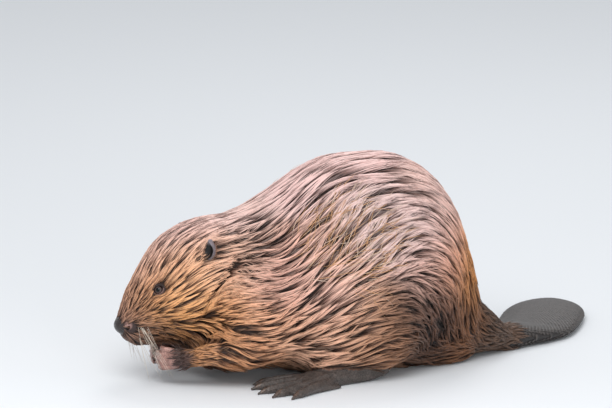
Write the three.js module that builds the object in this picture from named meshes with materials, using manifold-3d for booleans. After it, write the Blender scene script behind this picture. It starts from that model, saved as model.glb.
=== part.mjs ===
// A crouching adult beaver, life size, as a still museum model: it feeds with its back hunched, its head
// low, its hands up to its mouth, its hind feet and belly on the floor and its tail laid behind it.
// Millimetres, +Z up. The head points to -X, and the animal's left side faces -Y.
//
// The furred body is one smooth blend of rounded masses, turned into a closed mesh and parted by thin
// cuts into head, neck, trunk and limbs. Forearms, hands, feet, ears and tail are lofted, and let into it.
import * as THREE from "three";
import { mergeVertices } from "three/addons/utils/BufferGeometryUtils.js";
import Module from "manifold-3d";

const wasm = await Module();
wasm.setup();

// ---- Driving dimensions -------------------------------------------------------------------------------

const GAP = 0.3; // clearance between two pieces that meet
const FLOOR = 0; // the level that feet, belly and tail rest on

// Grid steps of the body mesh: coarse on the broad trunk, finer on the head.
const TRUNK_STEP = 34;
const HEAD_STEP = 16;

// Rounded masses of the body: centre [x, y, z], half-sizes [along, across, up], pitch in degrees (nose
// down is positive) and the width of the blend with what came before. A mass off the middle is made on
// both sides.
const TRUNK_MASSES = [
  { name: "hump", at: [48, 0, 144], half: [116, 130, 137], pitch: 0, blend: 0 },
  { name: "loin", at: [119, 0, 133], half: [99, 112, 145], pitch: 8, blend: 30 },
  { name: "ribs", at: [-18, 0, 114], half: [93, 116, 121], pitch: 24, blend: 36 },
  { name: "tail_head", at: [192, 0, 47], half: [46, 56, 72], pitch: 0, blend: 50 },
  { name: "shoulders", at: [-80, 0, 118], half: [68, 90, 93], pitch: 20, blend: 36 },
  { name: "breast", at: [-114, 0, 74], half: [62, 66, 58], pitch: 22, blend: 30 },
  { name: "thigh", at: [38, 84, 78], half: [92, 54, 78], pitch: 0, blend: 30 },
  { name: "upper_arm", at: [-101, 76, 68], half: [46, 36, 50], pitch: -18, blend: 24 },
];

// Masses of the head and neck, in the same form.
const HEAD_MASSES = [
  { name: "nape", at: [-126, 0, 143], half: [54, 62, 70], pitch: 25, blend: 30 },
  { name: "braincase", at: [-171, 0, 147], half: [53, 50, 51], pitch: 40, blend: 26 },
  { name: "forehead", at: [-209, 0, 117], half: [52, 39, 36], pitch: 58, blend: 18 },
  { name: "cheek", at: [-178, 30, 106], half: [38, 28, 36], pitch: 35, blend: 20 },
  { name: "muzzle", at: [-226, 0, 83], half: [37, 30, 24], pitch: 14, blend: 16 },
  { name: "lip", at: [-229, 14, 67], half: [21, 15, 17], pitch: 28, blend: 12 },
  { name: "chin", at: [-196, 0, 72], half: [34, 24, 18], pitch: 12, blend: 14 },
];

// ---- Small helpers ------------------------------------------------------------------------------------

const DEGREE = Math.PI / 180;
const point = (x, y, z) => new THREE.Vector3(x, y, z);

// Smooth union of two distances, rounded over the given width.
function blended(a, b, width) {
  if (width === 0) return Math.min(a, b);
  const near = Math.max(width - Math.abs(a - b), 0) / width;
  return Math.min(a, b) - (near * near * width) / 4;
}

// Distance from a point to one rounded mass, counted the same on both sides of the middle.
function massDistance(mass, x, y, z) {
  const [cx, cy, cz] = mass.at;
  const [along, across, up] = mass.half;
  const turn = mass.pitch * DEGREE;
  const dx = x - cx;
  const dz = z - cz;
  const u = (dx * Math.cos(turn) + dz * Math.sin(turn)) / along;
  const w = (dz * Math.cos(turn) - dx * Math.sin(turn)) / up;
  const v = (Math.abs(y) - cy) / across;
  const level = Math.hypot(u, v, w);
  const slope = Math.hypot(u / along, v / across, w / up);
  return slope === 0 ? -Math.min(along, across, up) : (level * (level - 1)) / slope;
}

const BODY_MASSES = [...TRUNK_MASSES, ...HEAD_MASSES];

function bodyDistance(x, y, z) {
  let distance = Infinity;
  for (const mass of BODY_MASSES) {
    distance = distance === Infinity
      ? massDistance(mass, x, y, z)
      : blended(distance, massDistance(mass, x, y, z), mass.blend);
  }
  return distance;
}

// Where the body is parted: a point on each cut and the direction of its front side.
const CUTS = {
  snout: { at: [-224, 0, 111], front: [-0.72, 0, -0.69] },
  jaw: { at: [-225, 0, 56], front: [0.28, 0, -0.96] },
  head: { at: [-124, 0, 214], front: [-0.96, 0, 0.28] },
  neck: { at: [-78, 0, 226], front: [-0.97, 0, 0.24] },
  chest: { at: [-40, 0, 130], front: [-1, 0, 0] },
  rump: { at: [92, 0, 130], front: [-1, 0, 0] },
};

// Round cutters that part the limbs from the trunk: centre, half-sizes and pitch, for the left side.
const THIGH_CUTTER = { at: [40, -128, 84], half: [104, 62, 84], pitch: 0 };
const ARM_CUTTER = { at: [-106, -105, 82], half: [45, 42, 56], pitch: -18 };

const EYE = { at: [-214, -36, 128], radius: 6.5 };
const NOSE = { at: [-252, 0, 77], half: [12, 16, 12], pitch: 30 };
const EAR = { at: [-152, -55, 179], half: [7.5, 13.5, 13.5], wall: 2.2, yaw: 36, lean: -20 };

// Forearm, from elbow to wrist: centres and radii, left side. The right arm is lower and further back.
const FOREARM = [
  { at: [-90, -82, 62], half: [17, 17] },
  { at: [-110, -84, 55], half: [22, 21] },
  { at: [-136, -78, 49], half: [18, 18] },
  { at: [-166, -64, 43], half: [13.5, 13] },
  { at: [-182, -52, 38.5], half: [10.5, 10.5] },
];
const RIGHT_ARM_SHIFT = [8, 0, -4];

const HAND = {
  palm: { at: [-190, -44, 36.5], half: [17, 9, 12.5], yaw: 28 },
  knuckle: [-200, -38, 36.5],
  digits: 5,
  spread: 5.2, // between neighbouring knuckles, up the hand
  length: 24,
  radius: 3.8,
  claw: 9,
};

const FOOT = {
  heel: [66, -88, 15],
  toeing: 11, // degrees turned outwards
  sole: 106, // heel to ball
  toes: 5,
  fan: 11.5, // degrees between neighbouring toes
  toe: 62, // the middle toe, ball to claw
  radius: 7.5,
  claw: 14,
  web: 4, // its thickness
};

const TAIL = {
  start: [206, 0, 42],
  rootLength: 92, // furred
  bladeLength: 250, // scaled
  rootHalf: [46, 40],
  waistHalf: [27, 15],
  bladeHalf: 57,
  bladeThick: 10,
  sweep: 62, // degrees that the tail turns to the right side
};

// ---- Meshes from distances ----------------------------------------------------------------------------

// Closed mesh of the surface where distance is 0, by surface nets on a grid of the given step.
function polygonised(distance, low, high, step) {
  const count = low.map((start, axis) => Math.ceil((high[axis] - start) / step) + 1);
  const index = (i, j, k) => i + count[0] * (j + count[1] * k);
  const place = (i, j, k) => [low[0] + i * step, low[1] + j * step, low[2] + k * step];
  const field = new Float64Array(count[0] * count[1] * count[2]);
  for (let k = 0; k < count[2]; k++)
    for (let j = 0; j < count[1]; j++)
      for (let i = 0; i < count[0]; i++) field[index(i, j, k)] = distance(...place(i, j, k));

  const positions = [];
  const vertexOf = new Int32Array(field.length).fill(-1);
  const corners = [0, 1, 2, 3, 4, 5, 6, 7].map((n) => [n & 1, (n >> 1) & 1, (n >> 2) & 1]);
  const edges = [];
  for (let a = 0; a < 8; a++) for (const bit of [1, 2, 4]) if (!(a & bit)) edges.push([a, a | bit]);
  for (let k = 0; k < count[2] - 1; k++)
    for (let j = 0; j < count[1] - 1; j++)
      for (let i = 0; i < count[0] - 1; i++) {
        const values = corners.map(([a, b, c]) => field[index(i + a, j + b, k + c)]);
        const sum = [0, 0, 0];
        let crossings = 0;
        for (const [a, b] of edges) {
          if (values[a] < 0 === values[b] < 0) continue;
          const share = values[a] / (values[a] - values[b]);
          for (let axis = 0; axis < 3; axis++)
            sum[axis] += corners[a][axis] + share * (corners[b][axis] - corners[a][axis]);
          crossings++;
        }
        if (!crossings) continue;
        vertexOf[index(i, j, k)] = positions.length / 3;
        const start = place(i, j, k);
        positions.push(...sum.map((total, axis) => start[axis] + (step * total) / crossings));
      }

  const faces = [];
  const axes = [[1, 0, 0], [0, 1, 0], [0, 0, 1]];
  for (let k = 1; k < count[2] - 1; k++)
    for (let j = 1; j < count[1] - 1; j++)
      for (let i = 1; i < count[0] - 1; i++) {
        const here = field[index(i, j, k)] < 0;
        for (let axis = 0; axis < 3; axis++) {
          const [a, b, c] = axes[axis];
          if (here === field[index(i + a, j + b, k + c)] < 0) continue;
          const [p, q] = [axes[(axis + 1) % 3], axes[(axis + 2) % 3]];
          const ring = [[0, 0], [1, 0], [1, 1], [0, 1]].map(([s, t]) =>
            vertexOf[index(i - s * p[0] - t * q[0], j - s * p[1] - t * q[1], k - s * p[2] - t * q[2])]);
          if (!here) ring.reverse();
          faces.push(ring[0], ring[1], ring[2], ring[0], ring[2], ring[3]);
        }
      }
  return { positions, faces };
}

// Whether each edge of the mesh belongs to just two faces, which run along it in opposite ways.
function isClosed(faces) {
  const edges = new Set();
  const ends = faces.map((from, n) => [from, faces[n % 3 === 2 ? n - 2 : n + 1]]);
  for (const [from, to] of ends) edges.add(from + "," + to);
  return edges.size === faces.length && ends.every(([from, to]) => edges.has(to + "," + from));
}

// Moves each vertex along the slope of the field onto the surface: the grid leaves it a little inside.
function settled(positions, distance) {
  const reach = 0.5;
  for (let n = 0; n < positions.length; n += 3) {
    for (let pass = 0; pass < 3; pass++) {
      const [x, y, z] = positions.slice(n, n + 3);
      const value = distance(x, y, z);
      const slope = [
        distance(x + reach, y, z) - distance(x - reach, y, z),
        distance(x, y + reach, z) - distance(x, y - reach, z),
        distance(x, y, z + reach) - distance(x, y, z - reach),
      ].map((difference) => difference / (2 * reach));
      const steepness = Math.max(slope[0] ** 2 + slope[1] ** 2 + slope[2] ** 2, 0.2);
      for (let axis = 0; axis < 3; axis++) positions[n + axis] -= (value * slope[axis]) / steepness;
    }
  }
  return positions;
}

// ---- Solids -------------------------------------------------------------------------------------------

function solidOf(positions, faces) {
  return new wasm.Manifold(new wasm.Mesh({
    numProp: 3,
    vertProperties: new Float32Array(positions),
    triVerts: new Uint32Array(faces),
  }));
}

function solidFrom(geometry) {
  const bare = geometry.clone();
  bare.deleteAttribute("normal");
  bare.deleteAttribute("uv");
  const merged = mergeVertices(bare, 1e-4);
  return solidOf(merged.attributes.position.array, merged.index.array);
}

// The half of space in front of a cut, clear of it by half the gap, or behind it.
function sideOf(cut, behind = false) {
  const reach = 3000;
  const normal = point(...cut.front).normalize().multiplyScalar(behind ? -1 : 1);
  const box = new THREE.BoxGeometry(reach, reach, reach).translate(0, 0, (reach + GAP) / 2);
  box.applyQuaternion(new THREE.Quaternion().setFromUnitVectors(point(0, 0, 1), normal));
  return solidFrom(box.translate(...cut.at));
}

const BELOW_FLOOR = sideOf({ at: [0, 0, FLOOR + GAP / 2], front: [0, 0, -1] });
const onFloor = (solid) => solid.subtract(BELOW_FLOOR);

// An ellipsoid, grown by a margin all round.
function ellipsoid({ at, half, pitch = 0, yaw = 0, lean = 0 }, margin = 0, detail = [12, 7]) {
  const ball = new THREE.SphereGeometry(1, ...detail).rotateX(Math.PI / 2);
  ball.scale(...half.map((size) => size + margin));
  ball.rotateY(-pitch * DEGREE).rotateX(lean * DEGREE).rotateZ(-yaw * DEGREE);
  return solidFrom(ball.translate(...at));
}

// A tube of elliptical sections through stations { at, half: [across, up] }, closed to a point at its ends.
function lofted(stations, sides = 10, margin = 0) {
  const places = stations.map((station) => point(...station.at));
  const positions = [];
  const faces = [];
  const last = stations.length - 1;
  const tangentAt = (n) => {
    const next = places[Math.min(n + 1, last)];
    return next.clone().sub(places[Math.max(n - 1, 0)]).normalize();
  };
  stations.forEach((station, n) => {
    const tangent = tangentAt(n);
    const across = point(0, 0, 1).cross(tangent).normalize();
    const up = tangent.clone().cross(across);
    for (let s = 0; s < sides; s++) {
      const angle = (2 * Math.PI * s) / sides;
      positions.push(...places[n].clone()
        .addScaledVector(across, Math.cos(angle) * (station.half[0] + margin))
        .addScaledVector(up, Math.sin(angle) * (station.half[1] + margin)).toArray());
    }
  });
  for (let n = 0; n < last; n++)
    for (let s = 0; s < sides; s++) {
      const [a, b] = [n * sides + s, n * sides + ((s + 1) % sides)];
      faces.push(a, b, b + sides, a, b + sides, a + sides);
    }
  for (const [n, way] of [[0, -1], [last, 1]]) {
    const tip = positions.length / 3;
    const bulge = 0.55 * (Math.min(...stations[n].half) + margin);
    positions.push(...places[n].clone().addScaledVector(tangentAt(n), way * bulge).toArray());
    for (let s = 0; s < sides; s++) {
      const [a, b] = [n * sides + s, n * sides + ((s + 1) % sides)];
      faces.push(...(way < 0 ? [b, a, tip] : [a, b, tip]));
    }
  }
  return solidOf(positions, faces);
}

const mirrored = (solid) => solid.mirror([0, 1, 0]);

// ---- The furred body ----------------------------------------------------------------------------------

const CUT_ROUNDING = 1.8; // of the mesh's spare end past a cut, in grid steps

// Body mesh at one step, in front of or behind a cut, with some to spare for the cut itself.
function bodyMesh(cut, behind, low, high, step) {
  const normal = point(...cut.front).normalize().multiplyScalar(behind ? -1 : 1);
  const start = normal.dot(point(...cut.at)) - 2 * step;
  const ahead = (x, y, z) => normal.dot(point(x, y, z)) - start;
  const clipped = (x, y, z) => -blended(-bodyDistance(x, y, z), ahead(x, y, z), CUT_ROUNDING * step);
  // A grid point that falls in a narrow crease can pinch the net. The grid is then moved and redrawn.
  for (let shift = 0; shift < step; shift += step / 8) {
    const { positions, faces } = polygonised(clipped, low.map((start) => start - shift), high, step);
    if (isClosed(faces)) return solidOf(settled(positions, clipped), faces);
  }
  throw new Error("no grid position gives a closed body");
}

const headBody = bodyMesh(CUTS.head, false, [-280, -122.3, 10], [-50, 122.3, 250], HEAD_STEP);
const trunkBody = bodyMesh(CUTS.head, true, [-260, -187.3, -60], [290, 187.3, 320], TRUNK_STEP);

// ---- Limbs, ears and tail -----------------------------------------------------------------------------

const shifted = (stations, by) =>
  stations.map((station) => ({ ...station, at: station.at.map((value, axis) => value + by[axis]) }));

// A toe or finger from its knuckle to its tip, ending in its claw.
function digit(knuckle, middle, tip, clawTip, radius, margin) {
  const clawRoot = tip.map((value, axis) => value + (clawTip[axis] - value) * 0.15);
  return lofted([
    { at: knuckle, half: [radius * 1.05, radius] },
    { at: middle, half: [radius, radius * 0.95] },
    { at: tip, half: [radius * 0.8, radius * 0.75] },
    { at: clawRoot, half: [radius * 0.5, radius * 0.5] },
    { at: clawTip, half: [radius * 0.2, radius * 0.25] },
  ], 5, margin);
}

// The left hand, held edge up before the mouth, its fingers curled in to the middle.
function hand(margin) {
  let solid = ellipsoid(HAND.palm, margin, [10, 6]);
  const [kx, ky, kz] = HAND.knuckle;
  for (let n = 0; n < HAND.digits; n++) {
    const row = n - (HAND.digits - 1) / 2;
    const reach = HAND.length * (n === HAND.digits - 1 ? 0.62 : 1 - 0.06 * row * row);
    const z = kz + HAND.spread * row;
    const at = (share, inward, rise) => [kx - reach * share, ky + reach * inward, z + row * rise];
    solid = solid.add(digit(at(-0.35, -0.1, 0), at(0.42, 0.36, 1), at(0.5, 0.84, 1.4),
      [kx - reach * 0.34, ky + reach * 0.84 + HAND.claw, z + row * 1.4 + 1], HAND.radius, margin));
  }
  return solid;
}

// The left hind foot, flat on the floor: sole, five toes and the web between them.
function foot(margin) {
  const [hx, hy, hz] = FOOT.heel;
  const along = (length, degrees, z) => {
    const turn = (FOOT.toeing + degrees) * DEGREE;
    return [hx - length * Math.cos(turn), hy - length * Math.sin(turn), z];
  };
  let solid = lofted([
    { at: along(-12, 0, hz + 2), half: [12, 12] },
    { at: along(12, 0, hz), half: [17, 16] },
    { at: along(FOOT.sole * 0.55, 0, hz - 2), half: [18, 15] },
    { at: along(FOOT.sole * 0.9, 0, hz - 5), half: [23, 11] },
    { at: along(FOOT.sole + 8, 0, hz - 7), half: [26, 8] },
  ], 8, margin);
  const outline = new THREE.Shape();
  const tips = [];
  for (let n = 0; n < FOOT.toes; n++) {
    const row = n - (FOOT.toes - 1) / 2;
    const splay = row * FOOT.fan;
    const root = along(FOOT.sole * 0.78, row * 5.5, hz - 7);
    const length = FOOT.toe * (1 - 0.055 * row * row);
    const reach = (share, z) => {
      const turn = (FOOT.toeing + splay) * DEGREE;
      const far = length * share + FOOT.sole * 0.2;
      return [root[0] - far * Math.cos(turn), root[1] - far * Math.sin(turn), z];
    };
    tips.push(reach(0.8, 0));
    solid = solid.add(digit(root, reach(0.5, FOOT.radius * 0.95), reach(1, FOOT.radius * 0.62),
      [...reach(1 + FOOT.claw / length, 0).slice(0, 2), 1.6], FOOT.radius, margin));
  }
  const [start, end] = [along(FOOT.sole * 0.7, -20, 0), along(FOOT.sole * 0.7, 20, 0)];
  outline.moveTo(...start.slice(0, 2));
  for (const tip of tips) outline.lineTo(...tip.slice(0, 2));
  outline.lineTo(...end.slice(0, 2));
  const web = new THREE.ExtrudeGeometry(outline, { depth: FOOT.web + margin, bevelEnabled: false });
  return solid.add(solidFrom(web.translate(0, 0, FLOOR + 1)));
}

// Point, heading and place along the tail's curved middle line.
function tailAt(length) {
  const total = TAIL.rootLength + TAIL.bladeLength;
  const step = 2;
  let [x, y, z] = TAIL.start;
  const turnAt = (s) => TAIL.sweep * DEGREE * THREE.MathUtils.smoothstep(s, -0.25 * total, 0.75 * total);
  for (let s = 0; s < length; s += step) {
    const piece = Math.min(step, length - s);
    x += piece * Math.cos(turnAt(s));
    y += piece * Math.sin(turnAt(s));
  }
  return [x, y, z];
}

// Stations of the tail between two lengths, with half-sizes and height from functions of the length.
function tailStations(from, to, count, halfAt, heightAt) {
  return Array.from({ length: count + 1 }, (_, n) => {
    const length = from + ((to - from) * n) / count;
    const [x, y] = tailAt(length);
    return { at: [x, y, heightAt(length)], half: halfAt(length) };
  });
}

const mix = THREE.MathUtils.lerp;
const ease = THREE.MathUtils.smoothstep;

function tailRoot(margin) {
  const { rootLength, rootHalf, waistHalf, start } = TAIL;
  const halfAt = (s) => [0, 1].map((n) => mix(rootHalf[n], waistHalf[n], ease(s, 0, rootLength)));
  const heightAt = (s) => mix(start[2], waistHalf[1] - 2, ease(s, 0, rootLength));
  return lofted(tailStations(0, rootLength, 5, halfAt, heightAt), 12, margin);
}

function tailBlade(margin) {
  const { rootLength, bladeLength, waistHalf, bladeHalf, bladeThick } = TAIL;
  const halfAt = (s) => {
    const share = (s - rootLength) / bladeLength;
    const widening = mix(waistHalf[0], bladeHalf, ease(share, -0.1, 0.34));
    const rounding = Math.sqrt(Math.max(1 - Math.max((share - 0.52) / 0.5, 0) ** 2.6, 0.015));
    const thickness = mix(waistHalf[1], bladeThick, ease(share, 0, 0.3));
    return [widening * rounding, thickness * mix(0.55, 1, rounding)];
  };
  const heightAt = (s) => halfAt(s)[1] - 2;
  return lofted(tailStations(rootLength - 24, rootLength + bladeLength, 15, halfAt, heightAt), 12, margin);
}

// A small round ear: a cup open to the front and side, on a short root in the head.
function ear(margin) {
  const outer = ellipsoid(EAR, margin, [10, 6]);
  if (margin) return outer;
  const turn = EAR.yaw * DEGREE;
  const [x, y, z] = EAR.at;
  const forward = EAR.half[0] + EAR.wall * 0.2;
  const bowl = ellipsoid({
    ...EAR,
    at: [x - forward * Math.cos(turn), y - forward * Math.sin(turn), z + 1],
    half: [EAR.half[0] + 2, EAR.half[1] - EAR.wall, EAR.half[2] - EAR.wall],
  }, 0, [10, 6]);
  return outer.subtract(bowl);
}

// ---- Parting into named pieces ------------------------------------------------------------------------

const pieces = new Map();

// Takes a left-side maker and gives both sides' pieces, the right one mirrored.
function pair(name, makeLeft) {
  const left = makeLeft();
  pieces.set(name + "_left", left);
  pieces.set(name + "_right", mirrored(left));
}

const bothSides = (solid) => solid.add(mirrored(solid));

const EYEBALL = { at: EYE.at, half: [EYE.radius, EYE.radius, EYE.radius] };
const eyeball = (margin) => ellipsoid(EYEBALL, margin, [10, 6]);
const eyes = bothSides(eyeball(GAP));
const ears = bothSides(ear(GAP));
const wholeHead = headBody.intersect(sideOf(CUTS.head));
const head = wholeHead.subtract(eyes).subtract(ears).subtract(ellipsoid(NOSE, GAP));
pieces.set("lower_jaw", head.intersect(sideOf(CUTS.jaw)));
const upperHead = head.intersect(sideOf(CUTS.jaw, true));
pieces.set("muzzle", upperHead.intersect(sideOf(CUTS.snout)));
pieces.set("head", upperHead.intersect(sideOf(CUTS.snout, true)));
pieces.set("nose", ellipsoid(NOSE));
pair("eye", () => eyeball(0));
pair("ear", () => ear(0));

const thighCutter = (margin) => ellipsoid(THIGH_CUTTER, margin, [16, 9]);
const armCutter = (margin) => ellipsoid(ARM_CUTTER, margin);
const rightForearm = (margin) => mirrored(lofted(shifted(FOREARM, RIGHT_ARM_SHIFT), 10, margin));
const limbs = bothSides(thighCutter(GAP)).add(bothSides(armCutter(GAP)));
const forearms = lofted(FOREARM, 10, GAP).add(rightForearm(GAP));
const feet = bothSides(foot(GAP));
const limbless = trunkBody.subtract(limbs).subtract(forearms).subtract(feet);
const trunk = onFloor(limbless.subtract(tailRoot(GAP)));
pieces.set("neck", trunk.intersect(sideOf(CUTS.head, true)).intersect(sideOf(CUTS.neck)));
pieces.set("shoulders", trunk.intersect(sideOf(CUTS.neck, true)).intersect(sideOf(CUTS.chest)));
pieces.set("trunk", trunk.intersect(sideOf(CUTS.chest, true)).intersect(sideOf(CUTS.rump)));
pieces.set("rump", trunk.intersect(sideOf(CUTS.rump, true)));

const thigh = onFloor(trunkBody.intersect(thighCutter(0)).subtract(foot(GAP)));
pieces.set("thigh_left", thigh);
pieces.set("thigh_right", mirrored(thigh));
pair("hind_foot", () => onFloor(foot(0)));

const upperArms = trunkBody.subtract(forearms);
pieces.set("upper_arm_left", upperArms.intersect(armCutter(0)));
pieces.set("upper_arm_right", upperArms.intersect(mirrored(armCutter(0))));
pieces.set("forearm_left", lofted(FOREARM).subtract(hand(GAP)));
pieces.set("hand_left", hand(0));
const lower = RIGHT_ARM_SHIFT.map((value, axis) => (axis === 1 ? 0 : value));
pieces.set("forearm_right", rightForearm(0).subtract(mirrored(hand(GAP)).translate(lower)));
pieces.set("hand_right", mirrored(hand(0)).translate(lower));

pieces.set("tail_root", onFloor(tailRoot(0).subtract(tailBlade(GAP))));
pieces.set("tail_blade", onFloor(tailBlade(0)));

// ---- Colours and the exported group -------------------------------------------------------------------

const finish = (color, roughness) => new THREE.MeshStandardMaterial({ color, roughness, metalness: 0 });
const FUR = finish("#8a6450", 0.6);
const FACE_FUR = finish("#a8754e", 0.6);
const BARE_SKIN = finish("#6f5750", 0.5);
const DARK_HIDE = finish("#3b302d", 0.45);
const EYE_GLOSS = finish("#120d0c", 0.08);
const FINISHES = {
  lower_jaw: FACE_FUR, muzzle: FACE_FUR, head: FACE_FUR, nose: DARK_HIDE, eye: EYE_GLOSS, ear: DARK_HIDE,
  hand: BARE_SKIN, hind_foot: DARK_HIDE, tail_blade: DARK_HIDE,
};

const beaver = new THREE.Group();
for (const [name, solid] of pieces) {
  const { vertProperties, triVerts } = solid.getMesh();
  const geometry = new THREE.BufferGeometry();
  geometry.setAttribute("position", new THREE.BufferAttribute(vertProperties, 3));
  geometry.setIndex(new THREE.BufferAttribute(triVerts, 1));
  geometry.computeVertexNormals();
  const mesh = new THREE.Mesh(geometry, FINISHES[name.replace(/_(left|right)$/, "")] ?? FUR);
  mesh.name = name;
  beaver.add(mesh);
}

// The frame's origin is on the floor, under the middle of the whole animal.
const bounds = new THREE.Box3().setFromObject(beaver);
const middle = bounds.getCenter(new THREE.Vector3());
beaver.position.set(-middle.x, -middle.y, -bounds.min.z);

export default beaver;
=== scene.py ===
"""A crouching beaver, life size, as a still museum model: one skin under a coat of wet, pointed locks, with
bare nose, ears, hands and feet and a scaled tail. Metres, +Z up, head to -X, the animal's left side to -Y."""
import math

import bpy
import numpy as np
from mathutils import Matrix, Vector
from mathutils.bvhtree import BVHTree
from mathutils.kdtree import KDTree


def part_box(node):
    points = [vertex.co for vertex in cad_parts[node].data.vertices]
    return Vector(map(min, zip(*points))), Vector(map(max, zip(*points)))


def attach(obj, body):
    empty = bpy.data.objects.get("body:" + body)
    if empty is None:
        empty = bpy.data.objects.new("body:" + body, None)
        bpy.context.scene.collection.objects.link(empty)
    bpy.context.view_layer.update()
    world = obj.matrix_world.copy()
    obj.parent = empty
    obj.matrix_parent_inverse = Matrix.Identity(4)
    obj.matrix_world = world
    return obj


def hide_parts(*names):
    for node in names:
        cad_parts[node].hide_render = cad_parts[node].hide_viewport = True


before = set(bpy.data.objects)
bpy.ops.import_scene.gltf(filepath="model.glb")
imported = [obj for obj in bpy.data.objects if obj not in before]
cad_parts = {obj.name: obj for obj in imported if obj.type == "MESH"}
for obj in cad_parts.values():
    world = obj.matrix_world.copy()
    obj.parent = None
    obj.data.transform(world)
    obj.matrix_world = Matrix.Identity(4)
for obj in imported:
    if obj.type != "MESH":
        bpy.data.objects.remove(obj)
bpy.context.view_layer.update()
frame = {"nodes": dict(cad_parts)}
nodes = frame["nodes"]
random = np.random.default_rng(11)

# Body places are in millimetres: behind the nose tip, out from the middle plane (left negative), and above
# the floor.
MM = 0.001
ORIGIN = np.array([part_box("nose")[0].x, (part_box("trunk")[0].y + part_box("trunk")[1].y) / 2, 0])
SIDES = {"left": -1, "right": 1}
LOWEST_SKIN, LOWEST_HAIR, LOWEST_HORN = 0.3, 0.5, 0.2  # above the floor (mm)


# ---- Helpers ------------------------------------------------------------------------------------------

def smooth(low, high, value):
    """0 at low, 1 at high, and an even S between them. With low above high it runs down."""
    share = np.clip((value - low) / (high - low), 0.0, 1.0)
    return share * share * (3 - 2 * share)


def unit(vectors):
    """These vectors with a length of 1."""
    return vectors / np.maximum(np.linalg.norm(vectors, axis=-1, keepdims=True), 1e-9)


def linear(hex_colour):
    """sRGB hex value as linear red, green and blue."""
    shares = [int(hex_colour[start:start + 2], 16) / 255 for start in (1, 3, 5)]
    return [c / 12.92 if c <= 0.04045 else ((c + 0.055) / 1.055) ** 2.4 for c in shares]


def to_body(points):
    return (np.asarray(points, float) - ORIGIN) / MM


def to_world(places):
    return places * MM + ORIGIN


def side_of(places):
    """-1 on the animal's left and 1 on its right, as a multiplier of places."""
    sides = np.ones_like(places)
    sides[..., 1] = np.where(places[..., 1] < 0, -1, 1)
    return sides


def folded(places):
    """Both sides of the body laid on the right one."""
    return places * side_of(places)


def distance(places, centre):
    """How far places on either side are from a spot that both sides have."""
    return np.linalg.norm(folded(places) - centre, axis=-1)


def blended(places, rows, reach):
    """The rows' last columns at these places. A row starts with its place, the same on both sides of the
    body, and counts by its nearness."""
    rows = np.array(rows, float)
    far = ((folded(places)[:, None, :] - rows[None, :, :3]) ** 2).sum(2) / (2 * reach ** 2)
    share = np.exp(far.min(1, keepdims=True) - far)
    return share @ rows[:, 3:] / share.sum(1, keepdims=True)


def near(places, centre, reach):
    """1 at a spot on either side of the body, falling to 0 at its reach."""
    return smooth(1, 0, np.linalg.norm((folded(places) - centre) / reach, axis=1))


def select_only(*objects):
    bpy.ops.object.select_all(action="DESELECT")
    for one in objects:
        one.select_set(True)
    bpy.context.view_layer.objects.active = objects[0]


def modify(piece, kind, **settings):
    """Adds a modifier with its settings and applies it."""
    select_only(piece)
    modifier = piece.modifiers.new(kind.title(), kind)
    for name, value in settings.items():
        setattr(modifier, name, value)
    bpy.ops.object.modifier_apply(modifier=modifier.name)


def in_edit_mode(piece, *steps):
    """Runs operators on the whole of a piece's mesh."""
    select_only(piece)
    bpy.ops.object.mode_set(mode="EDIT")
    bpy.ops.mesh.select_all(action="SELECT")
    for step, settings in steps:
        step(**settings)
    bpy.ops.object.mode_set(mode="OBJECT")


MERGE_DISTANCE = 0.01 * MM


def joined_copies(names, title):
    """One mesh of copies of these nodes' solids, with their loose triangles merged."""
    copies = []
    for name in names:
        copy = bpy.data.objects.new(title, nodes[name].data.copy())
        bpy.context.scene.collection.objects.link(copy)
        copies.append(copy)
    select_only(*copies)
    if len(copies) > 1:
        bpy.ops.object.join()
    copies[0].data.materials.clear()
    in_edit_mode(copies[0], (bpy.ops.mesh.remove_doubles, {"threshold": MERGE_DISTANCE}))
    return copies[0]


def read(items, attribute, columns, kind=np.float32):
    """An attribute of a mesh's items, with a row for each item."""
    flat = np.empty(len(items) * columns, kind)
    items.foreach_get(attribute, flat)
    return flat.reshape(-1, columns)


def places_of(piece):
    return to_body(read(piece.data.vertices, "co", 3))


def move_to(piece, places):
    piece.data.vertices.foreach_set("co", to_world(places).astype(np.float32).ravel())
    piece.data.update()


def normals_of(piece):
    return read(piece.data.vertex_normals, "vector", 3).astype(float)


def corners_of(piece):
    """Vertex numbers of the mesh's triangles."""
    piece.data.calc_loop_triangles()
    return read(piece.data.loop_triangles, "vertices", 3, np.int32)


def corners_of_faces(piece):
    """The first vertex of each face."""
    starts = read(piece.data.polygons, "loop_start", 1, np.int32)[:, 0]
    return read(piece.data.loops, "vertex_index", 1, np.int32)[starts, 0]


def edges_of(piece):
    return read(piece.data.edges, "vertices", 2, np.int32)


def new_piece(name, places, triangles):
    """A mesh object from body places and triangles."""
    mesh = bpy.data.meshes.new(name)
    mesh.vertices.add(len(places))
    mesh.vertices.foreach_set("co", to_world(places).astype(np.float32).ravel())
    mesh.loops.add(triangles.size)
    mesh.loops.foreach_set("vertex_index", triangles.astype(np.int32).ravel())
    mesh.polygons.add(len(triangles))
    mesh.polygons.foreach_set("loop_start", np.arange(0, triangles.size, 3, dtype=np.int32))
    mesh.polygons.foreach_set("use_smooth", np.ones(len(triangles), bool))
    mesh.update(calc_edges=True)
    piece = bpy.data.objects.new(name, mesh)
    bpy.context.scene.collection.objects.link(piece)
    return piece


def paint(piece, colours):
    """Stores a linear colour for each vertex."""
    layer = piece.data.color_attributes.new("colour", "FLOAT_COLOR", "POINT")
    values = np.hstack([colours, np.ones((len(colours), 1))])
    layer.data.foreach_set("color", values.astype(np.float32).ravel())


# ---- Materials ----------------------------------------------------------------------------------------

def new_material(name):
    material = bpy.data.materials.new(name)
    material.use_nodes = True
    return material, material.node_tree


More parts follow.
